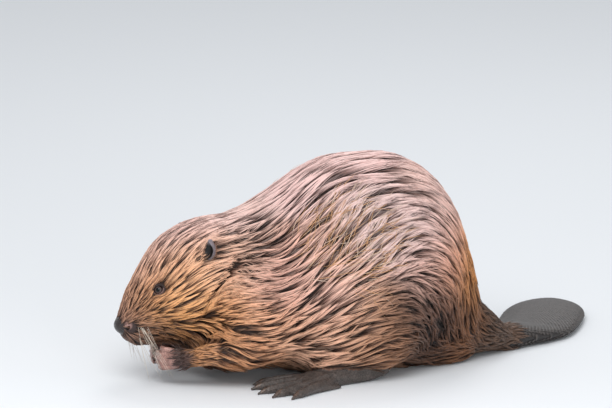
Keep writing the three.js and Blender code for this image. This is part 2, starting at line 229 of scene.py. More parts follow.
def set_up(tree, node, settings, **links):
    """A node's settings are properties or the values of inputs, and links join its inputs to outputs."""
    for name, value in settings.items():
        if name in node.inputs:
            node.inputs[name].default_value = value
        else:
            setattr(node, name, value)
    for name, source in links.items():
        tree.links.new(source, node.inputs[name.replace("_", " ")])
    return node


def add_node(tree, kind, settings, **links):
    return set_up(tree, tree.nodes.new("ShaderNode" + kind), settings, **links)


WATER_IOR = 1.33


def wet_fur():
    """Guard hair of a soaked coat: keratin under a film of water, so that it gleams along each strand."""
    material, tree = new_material("wet guard hair")
    colour = add_node(tree, "VertexColor", {"layer_name": "colour"})
    settings = {"Roughness": 0.48, "IOR": 1.5, "Coat Weight": 0.55, "Coat Roughness": 0.25,
                "Coat IOR": WATER_IOR}
    set_up(tree, tree.nodes["Principled BSDF"], settings, Base_Color=colour.outputs["Color"])
    return material


def hide(name, roughness, grain, relief, film=0.0, mottle=0.2):
    """Bare skin in its painted colours: cells of this grain and relief (mm), darker in the grooves between
    them than on their tops by a painted shade, and cloudy patches a few cells wide. A film of water gives a
    broken gleam."""
    material, tree = new_material(name)
    place = add_node(tree, "TexCoord", {}).outputs["Object"]
    colour = add_node(tree, "VertexColor", {"layer_name": "colour"})
    cells = add_node(tree, "TexVoronoi", {"Scale": 1 / (grain * MM)}, Vector=place)
    cloud = add_node(tree, "TexNoise", {"Scale": 1 / (5 * grain * MM), "Detail": 4.0}, Vector=place)
    low, high = 1 - mottle, 1 + mottle
    shade = add_node(tree, "MapRange", {"From Min": 0.3, "From Max": 0.7, "To Min": low, "To Max": high},
                     Value=cloud.outputs["Fac"])
    # Painted shade: each cell's colour darkens towards the grooves round it.
    groove = add_node(tree, "MapRange", {"From Min": 0.2, "From Max": 0.8, "To Min": high, "To Max": low},
                      Value=cells.outputs["Distance"])
    both = add_node(tree, "Math", {"operation": "MULTIPLY"})
    tree.links.new(shade.outputs["Result"], both.inputs[0])
    tree.links.new(groove.outputs["Result"], both.inputs[1])
    tint = add_node(tree, "VectorMath", {"operation": "SCALE"}, Vector=colour.outputs["Color"],
                    Scale=both.outputs["Value"])
    bump = add_node(tree, "Bump", {"Distance": relief * MM, "invert": True}, Height=cells.outputs["Distance"])
    settings = {"Roughness": roughness, "IOR": 1.4, "Coat Weight": film, "Coat Roughness": 0.15,
                "Coat IOR": WATER_IOR}
    set_up(tree, tree.nodes["Principled BSDF"], settings, Base_Color=tint.outputs["Vector"],
           Normal=bump.outputs["Normal"])
    return material


def wet_eye():
    """The cornea's smooth wet shell over a near black iris and pupil: all gleam."""
    material, tree = new_material("moist eyeball")
    colour = add_node(tree, "VertexColor", {"layer_name": "colour"})
    settings = {"Roughness": 0.03, "IOR": 1.38}
    set_up(tree, tree.nodes["Principled BSDF"], settings, Base_Color=colour.outputs["Color"])
    return material


def horn(name, light, dark, grain):
    """Keratin of a claw, bristle or scale: a low gleam, streaked between two colours with a grain in mm, as
    its layers grow."""
    material, tree = new_material(name)
    place = add_node(tree, "TexCoord", {}).outputs["Object"]
    streaks = add_node(tree, "TexNoise", {"Scale": 1 / (grain * MM), "Detail": 3.0}, Vector=place)
    ramp = add_node(tree, "ValToRGB", {}, Fac=streaks.outputs["Fac"])
    for stop, position, shade in zip(ramp.color_ramp.elements, (0.35, 0.65), (dark, light)):
        stop.position, stop.color = position, (*linear(shade), 1)
    settings = {"Roughness": 0.35, "IOR": 1.55}
    set_up(tree, tree.nodes["Principled BSDF"], settings, Base_Color=ramp.outputs["Color"])
    return material


# ---- Stage, light and camera --------------------------------------------------------------------------

VIEW_AZIMUTH, VIEW_ELEVATION = -20, 12
CAMERA_DISTANCE = 12.0
VIEW_WIDTH = 0.7956  # of what the camera sees at the animal
LOOK_AT = Vector((-0.082, 0.004, 0.209))
FLOOR_SIZE, WORLD_STRENGTH = 60, 0.7
# Name, azimuth and elevation (degrees), distance and diameter (m), power (W).
LAMPS = [("key", -32, 44, 2.4, 1.4, 29), ("front", -5, 14, 3.0, 1.0, 14), ("back", 150, 55, 2.6, 1.3, 12)]


def outward(azimuth, elevation):
    """Direction from the animal, with azimuth 0 at its left side and growing towards its tail."""
    turn, rise = math.radians(azimuth), math.radians(elevation)
    return Vector((math.sin(turn) * math.cos(rise), -math.cos(turn) * math.cos(rise), math.sin(rise)))


def add_lamp(name, azimuth, elevation, distance, size, power):
    lamp = bpy.data.objects.new(name, bpy.data.lights.new(name, "AREA"))
    bpy.context.scene.collection.objects.link(lamp)
    lamp.data.shape = "DISK"
    lamp.data.size = size
    lamp.data.energy = power
    lamp.location = outward(azimuth, elevation) * distance
    lamp.rotation_euler = outward(azimuth, elevation).to_track_quat("Z", "Y").to_euler()


def set_stage():
    camera = bpy.data.objects.new("camera", bpy.data.cameras.new("camera"))
    bpy.context.scene.collection.objects.link(camera)
    back = outward(VIEW_AZIMUTH, VIEW_ELEVATION)
    camera.location = LOOK_AT + CAMERA_DISTANCE * back
    camera.rotation_euler = back.to_track_quat("Z", "Y").to_euler()
    camera.data.lens = camera.data.sensor_width * CAMERA_DISTANCE / VIEW_WIDTH
    camera.data.clip_end = 100
    bpy.context.scene.camera = camera

    # Painted board, matt enough to hold the animal's shadow and no reflection of it.
    material, tree = new_material("matt pale studio floor")
    set_up(tree, tree.nodes["Principled BSDF"], {"Base Color": (*linear("#E9ECEF"), 1), "Roughness": 0.9})
    bpy.ops.mesh.primitive_plane_add(size=FLOOR_SIZE, location=(0, 0, 0))
    floor = bpy.context.object
    floor.name = "floor"
    floor.data.materials.append(material)

    world = bpy.data.worlds.new("soft studio")
    world.use_nodes = True
    tree = world.node_tree
    set_up(tree, tree.nodes["Background"], {"Color": (*linear("#F1F3F6"), 1), "Strength": WORLD_STRENGTH})
    bpy.context.scene.world = world
    bpy.context.scene.view_settings.view_transform = "Standard"
    for lamp in LAMPS:
        add_lamp(*lamp)


# ---- Skin ---------------------------------------------------------------------------------------------

SKIN_VOXEL = 1.5 * MM
SKIN_TRIANGLES = 190_000
JOIN_GROWTH = 0.35 * MM  # closes the thin gaps between the solids
SMOOTHING_ROUNDS, SMOOTHING_STEP = 60, 0.85
# Of each part: how strongly its faceted solid is smoothed, from 0 to 1, and the coat's depth over it (mm).
PARTS = {
    "trunk": (1, 7), "rump": (1, 6), "shoulders": (1, 6.5), "neck": (1, 6), "thigh": (0.8, 6.5),
    "upper_arm": (0.5, 5), "head": (0.3, 3.4), "muzzle": (0.1, 2), "lower_jaw": (0.15, 2.5),
    "nose": (0.35, 0.3), "eye": (0.1, 0), "ear": (0.012, 0), "forearm": (0.15, 2.5), "hand": (0.012, 0),
    "hind_foot": (0.03, 0), "tail_root": (0.6, 4), "tail_blade": (0.3, 0.6),
}
FURRED = ("trunk", "rump", "shoulders", "neck", "thigh", "upper_arm", "head", "muzzle", "lower_jaw",
          "tail_root")
# Parts that keep the skin's full detail, and the place and reach of the head's (mm).
FINE_PARTS = ("muzzle", "lower_jaw", "nose", "eye", "ear", "hand", "hind_foot")
FINE_HEAD = (45, 30, 125), (70, 45, 70)


def number_of(part):
    return list(PARTS).index(part)


def parts_at(places):
    """For each place, the number in PARTS of the nearest solid."""
    corners, owners = [], []
    for name, node in nodes.items():
        solid = places_of(node)
        corners.append(solid[corners_of(node)])
        part = next(part for part in PARTS if name.startswith(part))
        owners += [number_of(part)] * len(corners[-1])
    corners = np.concatenate(corners)
    triangles = np.arange(len(corners) * 3).reshape(-1, 3)
    tree = BVHTree.FromPolygons(corners.reshape(-1, 3).tolist(), triangles.tolist())
    owners = np.array(owners)
    return owners[[tree.find_nearest(place)[2] for place in places.tolist()]]


def among(parts, *names):
    """Whether each of these part numbers is one of the named parts'."""
    return np.isin(parts, [number_of(name) for name in names])


def relaxed(values, edges, rounds, shares=0.5):
    """Draws each vertex's values towards the mean of its neighbours', a share of the way in each round."""
    ends = np.concatenate([edges, edges[:, ::-1]])
    count = np.maximum(np.bincount(ends[:, 0], minlength=len(values)), 1)
    values = values.copy()
    for _ in range(rounds):
        for column in values.T:
            mean = np.bincount(ends[:, 0], column[ends[:, 1]], len(values)) / count
            column += shares * (mean - column)
    return values


def weigh(piece, name, weights):
    """Stores weights, in steps of a tenth, as a vertex group."""
    group = piece.vertex_groups.new(name=name)
    steps = np.round(weights * 10).astype(int)
    for step in range(1, 11):
        group.add(np.flatnonzero(steps == step).tolist(), step / 10, "REPLACE")


def make_skin():
    """One closed skin round all the solids, smoothed and sunk by the depth of the coat."""
    skin = joined_copies(list(nodes), "skin")
    in_edit_mode(skin, (bpy.ops.transform.shrink_fatten, {"value": JOIN_GROWTH}))
    modify(skin, "REMESH", mode="VOXEL", voxel_size=SKIN_VOXEL)
    places, edges = places_of(skin), edges_of(skin)
    parts = parts_at(places)
    settings = np.array(list(PARTS.values()), float)[parts]
    shares = relaxed(settings[:, :1], edges, 12)[:, 0]
    depth = relaxed(settings[:, 1:], edges, 30)[:, 0]
    places = relaxed(places, edges, SMOOTHING_ROUNDS, SMOOTHING_STEP * shares)
    move_to(skin, places)
    places = places - normals_of(skin) * depth[:, None]
    places[:, 2] = np.maximum(places[:, 2], LOWEST_SKIN)
    move_to(skin, places)
    fine = among(parts, *FINE_PARTS) | (near(places, *FINE_HEAD) > 0.05)
    weigh(skin, "coarse", relaxed(1.0 - fine[:, None], edges, 10)[:, 0])
    triangles = 2 * len(skin.data.polygons)  # the remesh makes quads
    modify(skin, "DECIMATE", ratio=SKIN_TRIANGLES / triangles, vertex_group="coarse")
    skin.vertex_groups.clear()
    select_only(skin)
    bpy.ops.object.shade_smooth()
    return skin


# ---- Places of the bare parts, on the right side ---------------------------------------------------------

def middle_of(node):
    return to_body(sum(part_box(node), Vector()) / 2)


EYE = middle_of("eye_right")
EYE_RADIUS = 6.4
EYE_AXIS = unit(np.array([-0.58, 0.77, 0.27]))
EYE_LINE = unit(np.cross(EYE_AXIS, np.cross([-0.94, 0, -0.34], EYE_AXIS)))  # from outer to inner corner
OPENING = (5.9, 4.8)  # half the width and height between the lids
NOSTRIL = np.array([11.5, 19.5, 76.5])
NOSTRIL_AXIS = unit(np.array([-0.69, 0.72, -0.05]))
EAR = middle_of("ear_right")
EAR_FRONT = unit(np.array([-0.81, 0.58, 0.1]))  # the way its cup is open
EAR_CANAL = EAR + [-1, -5, -6]

# The fold between cheek and neck: how far behind the nose it runs at a height, and how much it leans back.
FOLD_FOOT, FOLD_HEIGHT, FOLD_LEAN = 100, 92, 0.6
FOLD_STOP = 0.9  # share of the cheek's hair that ends at the fold
FOLD_IN, FOLD_OUT = (84, 96), (176, 156)  # heights between which it fades in at its foot and out at its top
FOLD_INNER = 28, 42  # distances from the middle plane between which it fades in


def behind_fold(places):
    return places[..., 0] - FOLD_FOOT - FOLD_LEAN * (places[..., 2] - FOLD_HEIGHT)


def fold_share(places):
    """1 along the middle of the fold, fading towards its ends and the middle plane."""
    up = places[..., 2]
    return smooth(*FOLD_IN, up) * smooth(*FOLD_OUT, up) * smooth(*FOLD_INNER, np.abs(places[..., 1]))


# ---- The lie, the length and the colours of the coat -----------------------------------------------------

# Rows start with a place: behind the nose tip, out from the middle plane, above the floor (mm). A row holds
# round its place about as far as its table's reach (mm).
LIE_REACH, COAT_REACH, COLOUR_REACH, RISE_REACH = 24, 22, 26, 25
# The lie: degrees that the hair rises from the line from head to tail.
LIE = [
    (10, 0, 100, 70), (18, 14, 58, -72), (20, 0, 122, 68), (32, 0, 145, 62), (92, 20, 54, -75),
    (50, 0, 174, 50), (70, 0, 192, 38), (90, 0, 203, 28), (117, 0, 211, 16), (145, 0, 214, 12),
    (175, 0, 219, 18), (38, 35, 116, 38), (32, 33, 90, 25), (30, 15, 62, -20), (52, 34, 152, 48),
    (76, 44, 165, 40), (97, 42, 185, 32), (66, 53, 118, 25), (50, 41, 93, 15), (85, 56, 93, 12),
    (104, 59, 116, 42), (113, 61, 142, 45), (133, 55, 185, 8), (116, 61, 160, 22), (159, 39, 207, 15),
    (156, 68, 180, -3), (146, 76, 156, -15), (154, 84, 137, -32), (135, 75, 117, -22), (140, 93, 97, -18),
    (126, 75, 72, -20), (150, 104, 69, 0), (171, 89, 154, -35), (178, 100, 125, 15), (197, 104, 138, 42),
    (214, 78, 204, 45), (200, 41, 221, 28), (241, 39, 247, 42), (217, 32, 234, 38), (281, 43, 268, 22),
    (315, 26, 278, 6), (265, 88, 228, 48), (218, 103, 169, 46), (280, 120, 181, 42), (251, 126, 132, 38),
    (203, 109, 93, 30), (206, 100, 58, 18), (274, 137, 73, 22), (288, 136, 118, 35), (322, 82, 249, 28),
    (372, 58, 261, -5), (360, 89, 235, 12), (412, 64, 239, -35), (404, 48, 256, -22), (432, 66, 218, -50),
    (430, 88, 183, -65), (350, 117, 189, 28), (395, 108, 177, 0), (409, 108, 149, -25), (315, 138, 103, 5),
    (352, 130, 72, 0), (393, 114, 99, -50), (424, 88, 58, -70), (457, 74, 145, -72), (474, 61, 88, -85),
    (480, 20, 50, -40), (520, 30, 40, -5), (150, 30, 45, -10), (250, 40, 10, 0), (330, 40, 10, 0),
    (420, 50, 10, 10), (70, 10, 55, -5), (110, 25, 60, -5),
]
# The coat: length of its locks, width of a lock, width of a strand (mm), stray degrees, how much strands
# differ in tone, and how far a lock is drawn together towards its tip. A strand stands for a small bundle of
# wet hairs, because a single hair, a tenth as wide, would be too fine to show.
COAT = [
    (8, 6, 95, 8, 1.6, 0.9, 7, 0.8, 0.6), (24, 26, 84, 12, 2.0, 1.0, 9, 0.9, 0.6),
    (20, 14, 60, 14, 1.8, 0.9, 14, 0.45, 0.6), (26, 0, 130, 34, 3.0, 1.0, 2, 0.5, 0.4),
    (45, 0, 165, 58, 4.4, 1.0, 1, 0.5, 0.35), (50, 37, 128, 12, 2.0, 0.8, 4, 0.3, 0.4),
    (40, 34, 105, 28, 3.0, 1.0, 4, 0.42, 0.45), (75, 47, 135, 52, 4.2, 1.0, 2, 0.38, 0.4),
    (90, 0, 200, 66, 5.2, 1.1, 1, 0.45, 0.35), (95, 58, 150, 56, 4.8, 1.05, 3, 0.36, 0.45),
    (85, 54, 105, 50, 4.4, 1.0, 3, 0.38, 0.4), (75, 45, 82, 30, 3.4, 1.0, 7, 0.36, 0.5),
    (65, 10, 55, 14, 3.0, 1.1, 12, 0.3, 0.6), (90, 16, 54, 36, 4.5, 1.2, 10, 0.3, 0.6),
    (114, 56, 172, 18, 3.0, 1.0, 6, 0.3, 0.5), (150, 0, 215, 64, 7.0, 1.2, 2, 0.24, 0.4),
    (150, 80, 150, 56, 6.0, 1.15, 4, 0.46, 0.75), (125, 50, 65, 32, 4.5, 1.2, 9, 0.3, 0.6),
    (190, 90, 140, 56, 6.5, 1.2, 5, 0.46, 0.75), (175, 100, 70, 34, 4.5, 1.15, 8, 0.28, 0.5),
    (250, 0, 260, 72, 9.5, 1.3, 2, 0.18, 0.45), (330, 0, 275, 72, 9.5, 1.3, 2, 0.18, 0.45),
    (260, 95, 195, 60, 7.5, 1.2, 5, 0.3, 0.65), (260, 125, 120, 52, 5.5, 1.15, 6, 0.34, 0.65),
    (260, 130, 50, 42, 5.0, 1.2, 9, 0.3, 0.5), (320, 135, 95, 32, 4.0, 1.15, 10, 0.26, 0.45),
    (360, 125, 60, 26, 4.0, 1.15, 14, 0.45, 0.8), (400, 105, 80, 26, 4.5, 1.15, 20, 0.8, 0.9),
    (420, 0, 240, 62, 9.0, 1.3, 3, 0.2, 0.45), (400, 90, 205, 54, 6.0, 1.15, 4, 0.22, 0.5),
    (420, 95, 165, 46, 5.5, 1.2, 6, 0.32, 0.7), (455, 50, 130, 42, 5.5, 1.2, 7, 0.38, 0.6),
    (470, 50, 60, 28, 4.5, 1.2, 12, 0.35, 0.7), (500, 0, 50, 20, 4.0, 1.2, 9, 0.3, 0.7),
    (300, 30, 10, 30, 8.0, 2.4, 12, 0.3, 0.6),
]
# The colours of skin and coat: rusty on cheek and rump, and dark on the hip. The pale colours on top of the
# head, neck, back and upper flanks are a painted sheen, where the wet coat catches the sky; the dark ones
# round the mouth and under the chin and throat, and the darker ones low on chest, belly and rump, are painted
# shade.
COLOURS = [
    (8, 0, 100, "#8A6658"), (15, 26, 84, "#9C7868"), (24, 18, 60, "#3A2822"), (36, 27, 63, "#4A342A"),
    (30, 0, 130, "#BA8F78"), (45, 0, 165, "#D6AE9E"), (38, 34, 110, "#D2965C"), (50, 37, 128, "#926444"),
    (90, 0, 200, "#DDB8AE"), (80, 47, 145, "#F2BC94"), (85, 55, 112, "#FABE78"), (75, 46, 84, "#B4783F"),
    (70, 20, 60, "#4A3026"), (120, 62, 150, "#DEB092"), (150, 0, 215, "#DDBDB4"), (150, 80, 160, "#AE8C7C"),
    (140, 70, 90, "#D29A6A"), (190, 95, 140, "#C89C8C"), (170, 105, 75, "#CE9C7C"),
    (150, 80, 50, "#9A6A48"), (108, 20, 48, "#4E3428"), (122, 80, 58, "#BE8A62"), (230, 125, 60, "#D0A48A"),
    (260, 115, 140, "#DAB2A2"), (250, 0, 260, "#E6C4BE"), (340, 0, 275, "#E6C4BE"),
    (350, 110, 195, "#F2D6D0"), (400, 95, 190, "#F2D4CE"), (310, 137, 95, "#C2967A"),
    (338, 131, 72, "#946A50"), (385, 114, 140, "#E0B8AA"), (428, 96, 135, "#C89074"),
    (350, 129, 84, "#5E4234"), (370, 123, 84, "#4E362A"), (392, 116, 98, "#5E4032"),
    (428, 92, 90, "#5C3E32"), (425, 92, 60, "#543A2C"), (330, 134, 55, "#A87C5E"),
    (420, 60, 235, "#E0BEB4"), (432, 90, 172, "#CE9C84"), (460, 70, 125, "#BE8248"),
    (465, 60, 60, "#7A5032"), (300, 40, 10, "#7A5A44"), (500, 0, 50, "#5C4638"),
]
# Height of the coat's tips above the skin (mm).
RISE = [
    (5, 0, 90, 1.0), (20, 25, 80, 1.6), (45, 0, 160, 3.5), (50, 37, 128, 1.8), (90, 50, 120, 4.2),
    (70, 20, 60, 2.5), (114, 56, 175, 3.0), (98, 24, 56, 16), (90, 8, 52, 30), (150, 60, 180, 7),
    (130, 50, 60, 6), (250, 90, 150, 8), (400, 60, 200, 8), (470, 40, 60, 7), (510, 0, 45, 4),
]


def coat_at(places, **change):
    """The columns of COAT at these places, each times its own change."""
    names = ("length", "width", "strand", "stray", "glints", "draw")
    columns = blended(places, COAT, COAT_REACH).T
    return [values * change.get(name, 1) for name, values in zip(names, columns)]


def body_heading(places):
    """Direction of the hair on the body, before it is laid on the skin."""
    rows = [(*row[:3], math.cos(math.radians(row[3])), math.sin(math.radians(row[3]))) for row in LIE]
    run = blended(places, rows, LIE_REACH)
    return np.stack([run[:, 0], np.zeros(len(run)), run[:, 1]], 1)


def arm_heading(places):
    """Direction of the hair on a forearm, from elbow to wrist."""
    return np.array([-0.92, -0.30, -0.23]) * side_of(places)


# Spots that the hair parts round: the spot, and the distances (mm) within which it is bare, and past which
# the hair lies as if the spot weren't there.
PARTINGS = [(EAR, 9, 19), (EYE + 5 * EYE_AXIS, 6, 11)]
PARTING_PUSH = 0.6


def laid(heading, places, normals):
    """Unit directions along the skin, which part round the ears and eyes."""
    run = heading(places)
    for spot, bare, free in PARTINGS:
        away = (folded(places) - spot) * side_of(places)
        far = np.linalg.norm(away, axis=1, keepdims=True)
        run = run + PARTING_PUSH * away / far * smooth(free, bare, far)
    return unit(run - (run * normals).sum(1, keepdims=True) * normals)


def spreading(heading, places, normals):
    """How fast neighbouring hairs part from each other, for each millimetre of their length."""
    aside = np.cross(normals, laid(heading, places, normals))
    step = 6
    ahead, behind = (laid(heading, places + sign * step * aside, normals) for sign in (1, -1))
    return ((ahead - behind) * aside).sum(1) / (2 * step)


def markings_and_painted_light(places):
    """Linear colour of the coat at these places, alike for hair and skin, its painted sheen and shade
    included.
    """
    return blended(places, [(*row[:3], *linear(row[3])) for row in COLOURS], COLOUR_REACH)


# ---- Coat ---------------------------------------------------------------------------------------------

# The redder tint of dark hair also falls on hair darkened by painted shade, and on the hide under the coat.
DARK_WARMTH = np.array([-0.15, 0.12, 0.2])  # dark hair is redder than pale hair
PALEST = 0.88  # linear, of the strongest of a hair's three colour values
STATIONS = 7  # points on the path that a lock follows
CANDIDATES = 7  # roots tried for each one that is kept
ROOT_GAP = 0.85  # least distance between roots, as a share of a lock's width, and of its length in one row
SPREAD = 1.3  # how far the roots of one lock's strands lie apart, as a share of its length in one row
VARIED = 0.82, 1.18  # limits of how far a lock differs from its row in COAT
PARTING_GAIN, PARTING_LIMITS = 1.6, (0.7, 2.2)
RAGGED = [(2.2, (0.21, 0, -0.37)), (2.0, (0.13, 0, 0.61))]  # height (mm) and run of the fold's uneven edge
UNCOVERED = 9  # how far ahead of a root (mm) the coat must already grow for the root to be hidden
SHORTEST = 3  # strands cut shorter than this (mm) are left out
# Strands that stay in a hollow are darkened there by a painted shade.
UNDER_SHARE = 0.3  # of a lock's strands, which stay where they are in a hollow, low and dark
ROOTS_APART = 1.25  # how wide the roots of a lock's strands spread, as a share of its width
STRAND_ENDS, EDGE_SHORTER = (0.84, 1.0), 0.12  # where strands end on their lock's path, and less at its edge
CUT_ENDS = 0.88, 1.06  # how evenly strands end before a bare spot or the fold
BEND, CURL, CURL_TURN = 0.05, 0.25, 5  # of a lock, as a share of its length, and of a strand, of its width
# Shares of the height that a strand's edge place and a hollow take off it, that it varies by, and its start.
EDGE_LOWER, HOLLOW_LOWER, RISE_VARIED, ROOT_LOWER = 0.35, 0.7, 0.045, 0.12
ROOT_SUNK = 0.3  # how deep in the skin a strand starts (mm)
ROLL = 0.25  # how far a strand is rolled about its run
TIP_THINNER, HOLLOW_THINNER = 0.55, 0.35
# How light a strand is at its root, a painted shade of the coat over it, what a bare root adds where no coat
# covers it, and how light it is at its tip, a painted sheen. Then how much darker it is at the edge of its
# lock and in a hollow: painted shade where the locks part.
ROOT_TONE, BARE_ROOT_TONE, TIP_TONE = 0.1, 0.55, 1.5
EDGE_SHADE, HOLLOW_SHADE = 0.6, 0.85


class Surface:
    """A mesh's shape in body places, for finding points on it."""

    def __init__(self, piece):
        self.places, self.normals, self.corners = places_of(piece), normals_of(piece), corners_of(piece)
        self.tree = BVHTree.FromPolygons(self.places.tolist(), self.corners.tolist())

    def nearest(self, places):
        """The nearest points on the mesh and its smooth normals there."""
        found = [self.tree.find_nearest(place) for place in places.tolist()]
        points = np.array([tuple(hit[0]) for hit in found])
        corners = self.corners[[hit[2] for hit in found]]
        a, b, c = (self.places[corners[:, n]] for n in range(3))
        pairs = (b, c), (c, a), (a, b)
        areas = [np.linalg.norm(np.cross(q - points, r - points), axis=1) for q, r in pairs]
        shares = np.stack(areas, 1) / np.maximum(sum(areas), 1e-9)[:, None]
        return points, unit((self.normals[corners] * shares[:, :, None]).sum(1))

    def sampled(self, places, values):
        """The vertices' values at the nearest points on the mesh."""
        found = [self.tree.find_nearest(place)[2] for place in places.tolist()]
        return values[self.corners[found]].mean(1)

    def scattered(self, density):
        """Random points on the mesh, so many to a square millimetre at each vertex, and the normals there."""
        a, b, c = (self.places[self.corners[:, n]] for n in range(3))
        expected = np.linalg.norm(np.cross(b - a, c - a), axis=1) / 2 * density[self.corners].mean(1)
        count = random.poisson(expected)
        chosen = np.repeat(np.arange(len(count)), count)
        first, second = random.random((2, len(chosen), 1))
        over = first + second > 1
        first, second = np.where(over, 1 - first, first), np.where(over, 1 - second, second)
        points = a[chosen] + first * (b - a)[chosen] + second * (c - a)[chosen]
        shares = np.hstack([1 - first - second, first, second])
        return points, unit((self.normals[self.corners[chosen]] * shares[:, :, None]).sum(1))


def thinned(points, lie, across, along):
    """Numbers of points that keep a distance from each other, along and across the lie of the coat."""
    tree = KDTree(len(points))
    for number, point in enumerate(points.tolist()):
        tree.insert(point, number)
    tree.balance()
    dropped = np.zeros(len(points), bool)
    kept = []
    for number in random.permutation(len(points)).tolist():
        if dropped[number]:
            continue
        kept.append(number)
        close = np.array([found[1] for found in tree.find_range(points[number].tolist(), along[number])])
        gap = points[close] - points[number]
        run = gap @ lie[number]
        aside = np.sqrt(np.maximum((gap ** 2).sum(1) - run ** 2, 0))
        dropped[close[(run / along[number]) ** 2 + (aside / across[number]) ** 2 < 1]] = True
    return np.array(kept)


def traced(surface, heading, roots, lengths, turn):
    """Paths over the skin along the lie of the coat, each turned by its own angle, with their normals."""
    points, normals = surface.nearest(roots)
    path, ups = [points], [normals]
    for _ in range(STATIONS - 1):
        lie = laid(heading, points, normals)
        aside = np.cross(normals, lie)
        onward = lie * np.cos(turn)[:, None] + aside * np.sin(turn)[:, None]
        points, normals = surface.nearest(points + onward * (lengths / (STATIONS - 1))[:, None])
        path.append(points)
        ups.append(normals)
    return np.stack(path, 1), np.stack(ups, 1)


# The largest openings in the wet coat: a place, the degrees that it rises towards the tail, its length and
# half its width (mm). They lie on the withers and back, then on the neck, then on the muzzle.
OPENINGS = [
    (265, 75, 240, 15, 85, 3.6), (280, 100, 222, 28, 60, 4.2), (300, 110, 217, 22, 60, 3.8),
    (305, 115, 203, 32, 55, 3.4), (340, 105, 220, 2, 60, 2.8), (285, 30, 273, 4, 75, 2.4),
    (375, 55, 260, -15, 45, 2.4), (295, 75, 253, 8, 32, 1.8), (245, 95, 205, 42, 46, 2.4),
    (240, 105, 184, 20, 40, 3.0), (288, 120, 185, 24, 34, 3.0), (245, 20, 256, 18, 70, 2.2),
    (140, 57, 188, 10, 42, 2.8), (180, 70, 192, 20, 42, 2.8), (153, 50, 199, 10, 28, 2.4),
    (180, 25, 220, 20, 40, 3.2), (155, 73, 172, 0, 34, 2.6), (148, 75, 163, -5, 40, 2.5),
    (140, 74, 154, -8, 46, 2.4), (138, 75, 141, -20, 42, 2.4), (152, 82, 148, -22, 36, 2.2),
    (128, 70, 126, -12, 40, 2.2), (117, 23, 206, -5, 34, 2.4), (93, 49, 165, 28, 20, 3.0),
    (13, 7, 102, 70, 20, 1.7), (16, 15, 102, 58, 18, 1.8), (22, 22, 97, 36, 18, 1.8),
    (26, 28, 88, 15, 20, 1.8), (28, 28, 76, -8, 18, 1.9), (36, 31, 69, -10, 20, 1.8),
    (30, 24, 106, 50, 18, 1.6), (36, 32, 98, 30, 20, 1.6),
]
OPENING_CLEAR = 13  # no other opening starts this near to the middle of a placed one (mm)
OPENING_TRIES = 4  # openings tried for each lock's area
OPENING_GAP, OPENING_LENGTH, OPENING_HALF = 0.52, 0.85, 0.27  # as shares of a lock's length and width
HOLLOW_SHAPE = 2.0  # the outline's own value is 0.43 at its widest, so this brings it near its half width
HOLLOW_REACH = 3.2  # half widths from the middle, within which strands are pushed aside
HOLLOW_DEPTH, HOLLOW_SINK = 12, 0.35  # how far the skin may curve away from it (mm), and more for each mm on
SLAB, LONGEST_OPENING, MIDDLE_OVERLAP = 20, 95, 12  # (mm)


def make_hollows(surface, allowed):
    """Dark openings in the wet coat, each wide where it starts and drawn out to a point along the lie."""
    placed = np.array(OPENINGS, float)
    placed = np.concatenate([placed, placed * [1, -1, 1, 1, 1, 1]])
    rise = np.radians(placed[:, 3])
    starts, ups = surface.nearest(placed[:, :3])
    lie = np.stack([np.cos(rise), 0 * rise, np.sin(rise)], 1)
    lie = unit(lie - (lie * ups).sum(1, keepdims=True) * ups)

    length, width = coat_at(surface.places)[:2]
    points, normals = surface.scattered(allowed * OPENING_TRIES / (length * width))
    length, width = coat_at(points)[:2]
    kept = thinned(points, laid(body_heading, points, normals), width, OPENING_GAP * length)
    middles = starts + lie * placed[:, 4:5] * 0.4
    clear = np.linalg.norm(points[kept][:, None] - middles[None], axis=2).min(1) > OPENING_CLEAR
    kept = kept[clear]
    size = random.uniform(0.5, 1.0, len(kept))
    starts, ups = np.concatenate([starts, points[kept]]), np.concatenate([ups, normals[kept]])
    lie = np.concatenate([lie, laid(body_heading, points[kept], normals[kept])])
    length = np.concatenate([placed[:, 4], OPENING_LENGTH * length[kept] * size])
    half = width[kept] * OPENING_HALF * size * random.uniform(0.6, 1.15, len(kept))
    half = np.concatenate([placed[:, 5], half])
    aside = np.cross(ups, lie)
    ends, end_ups = surface.nearest(starts + lie * length[:, None])
    bend = 0.5 * length * (laid(body_heading, ends, end_ups) * aside).sum(1)
    bend[:len(placed)] *= 0.5
    return {"start": starts, "lie": lie, "aside": aside, "up": ups, "length": length, "half": half,
            "bend": bend}


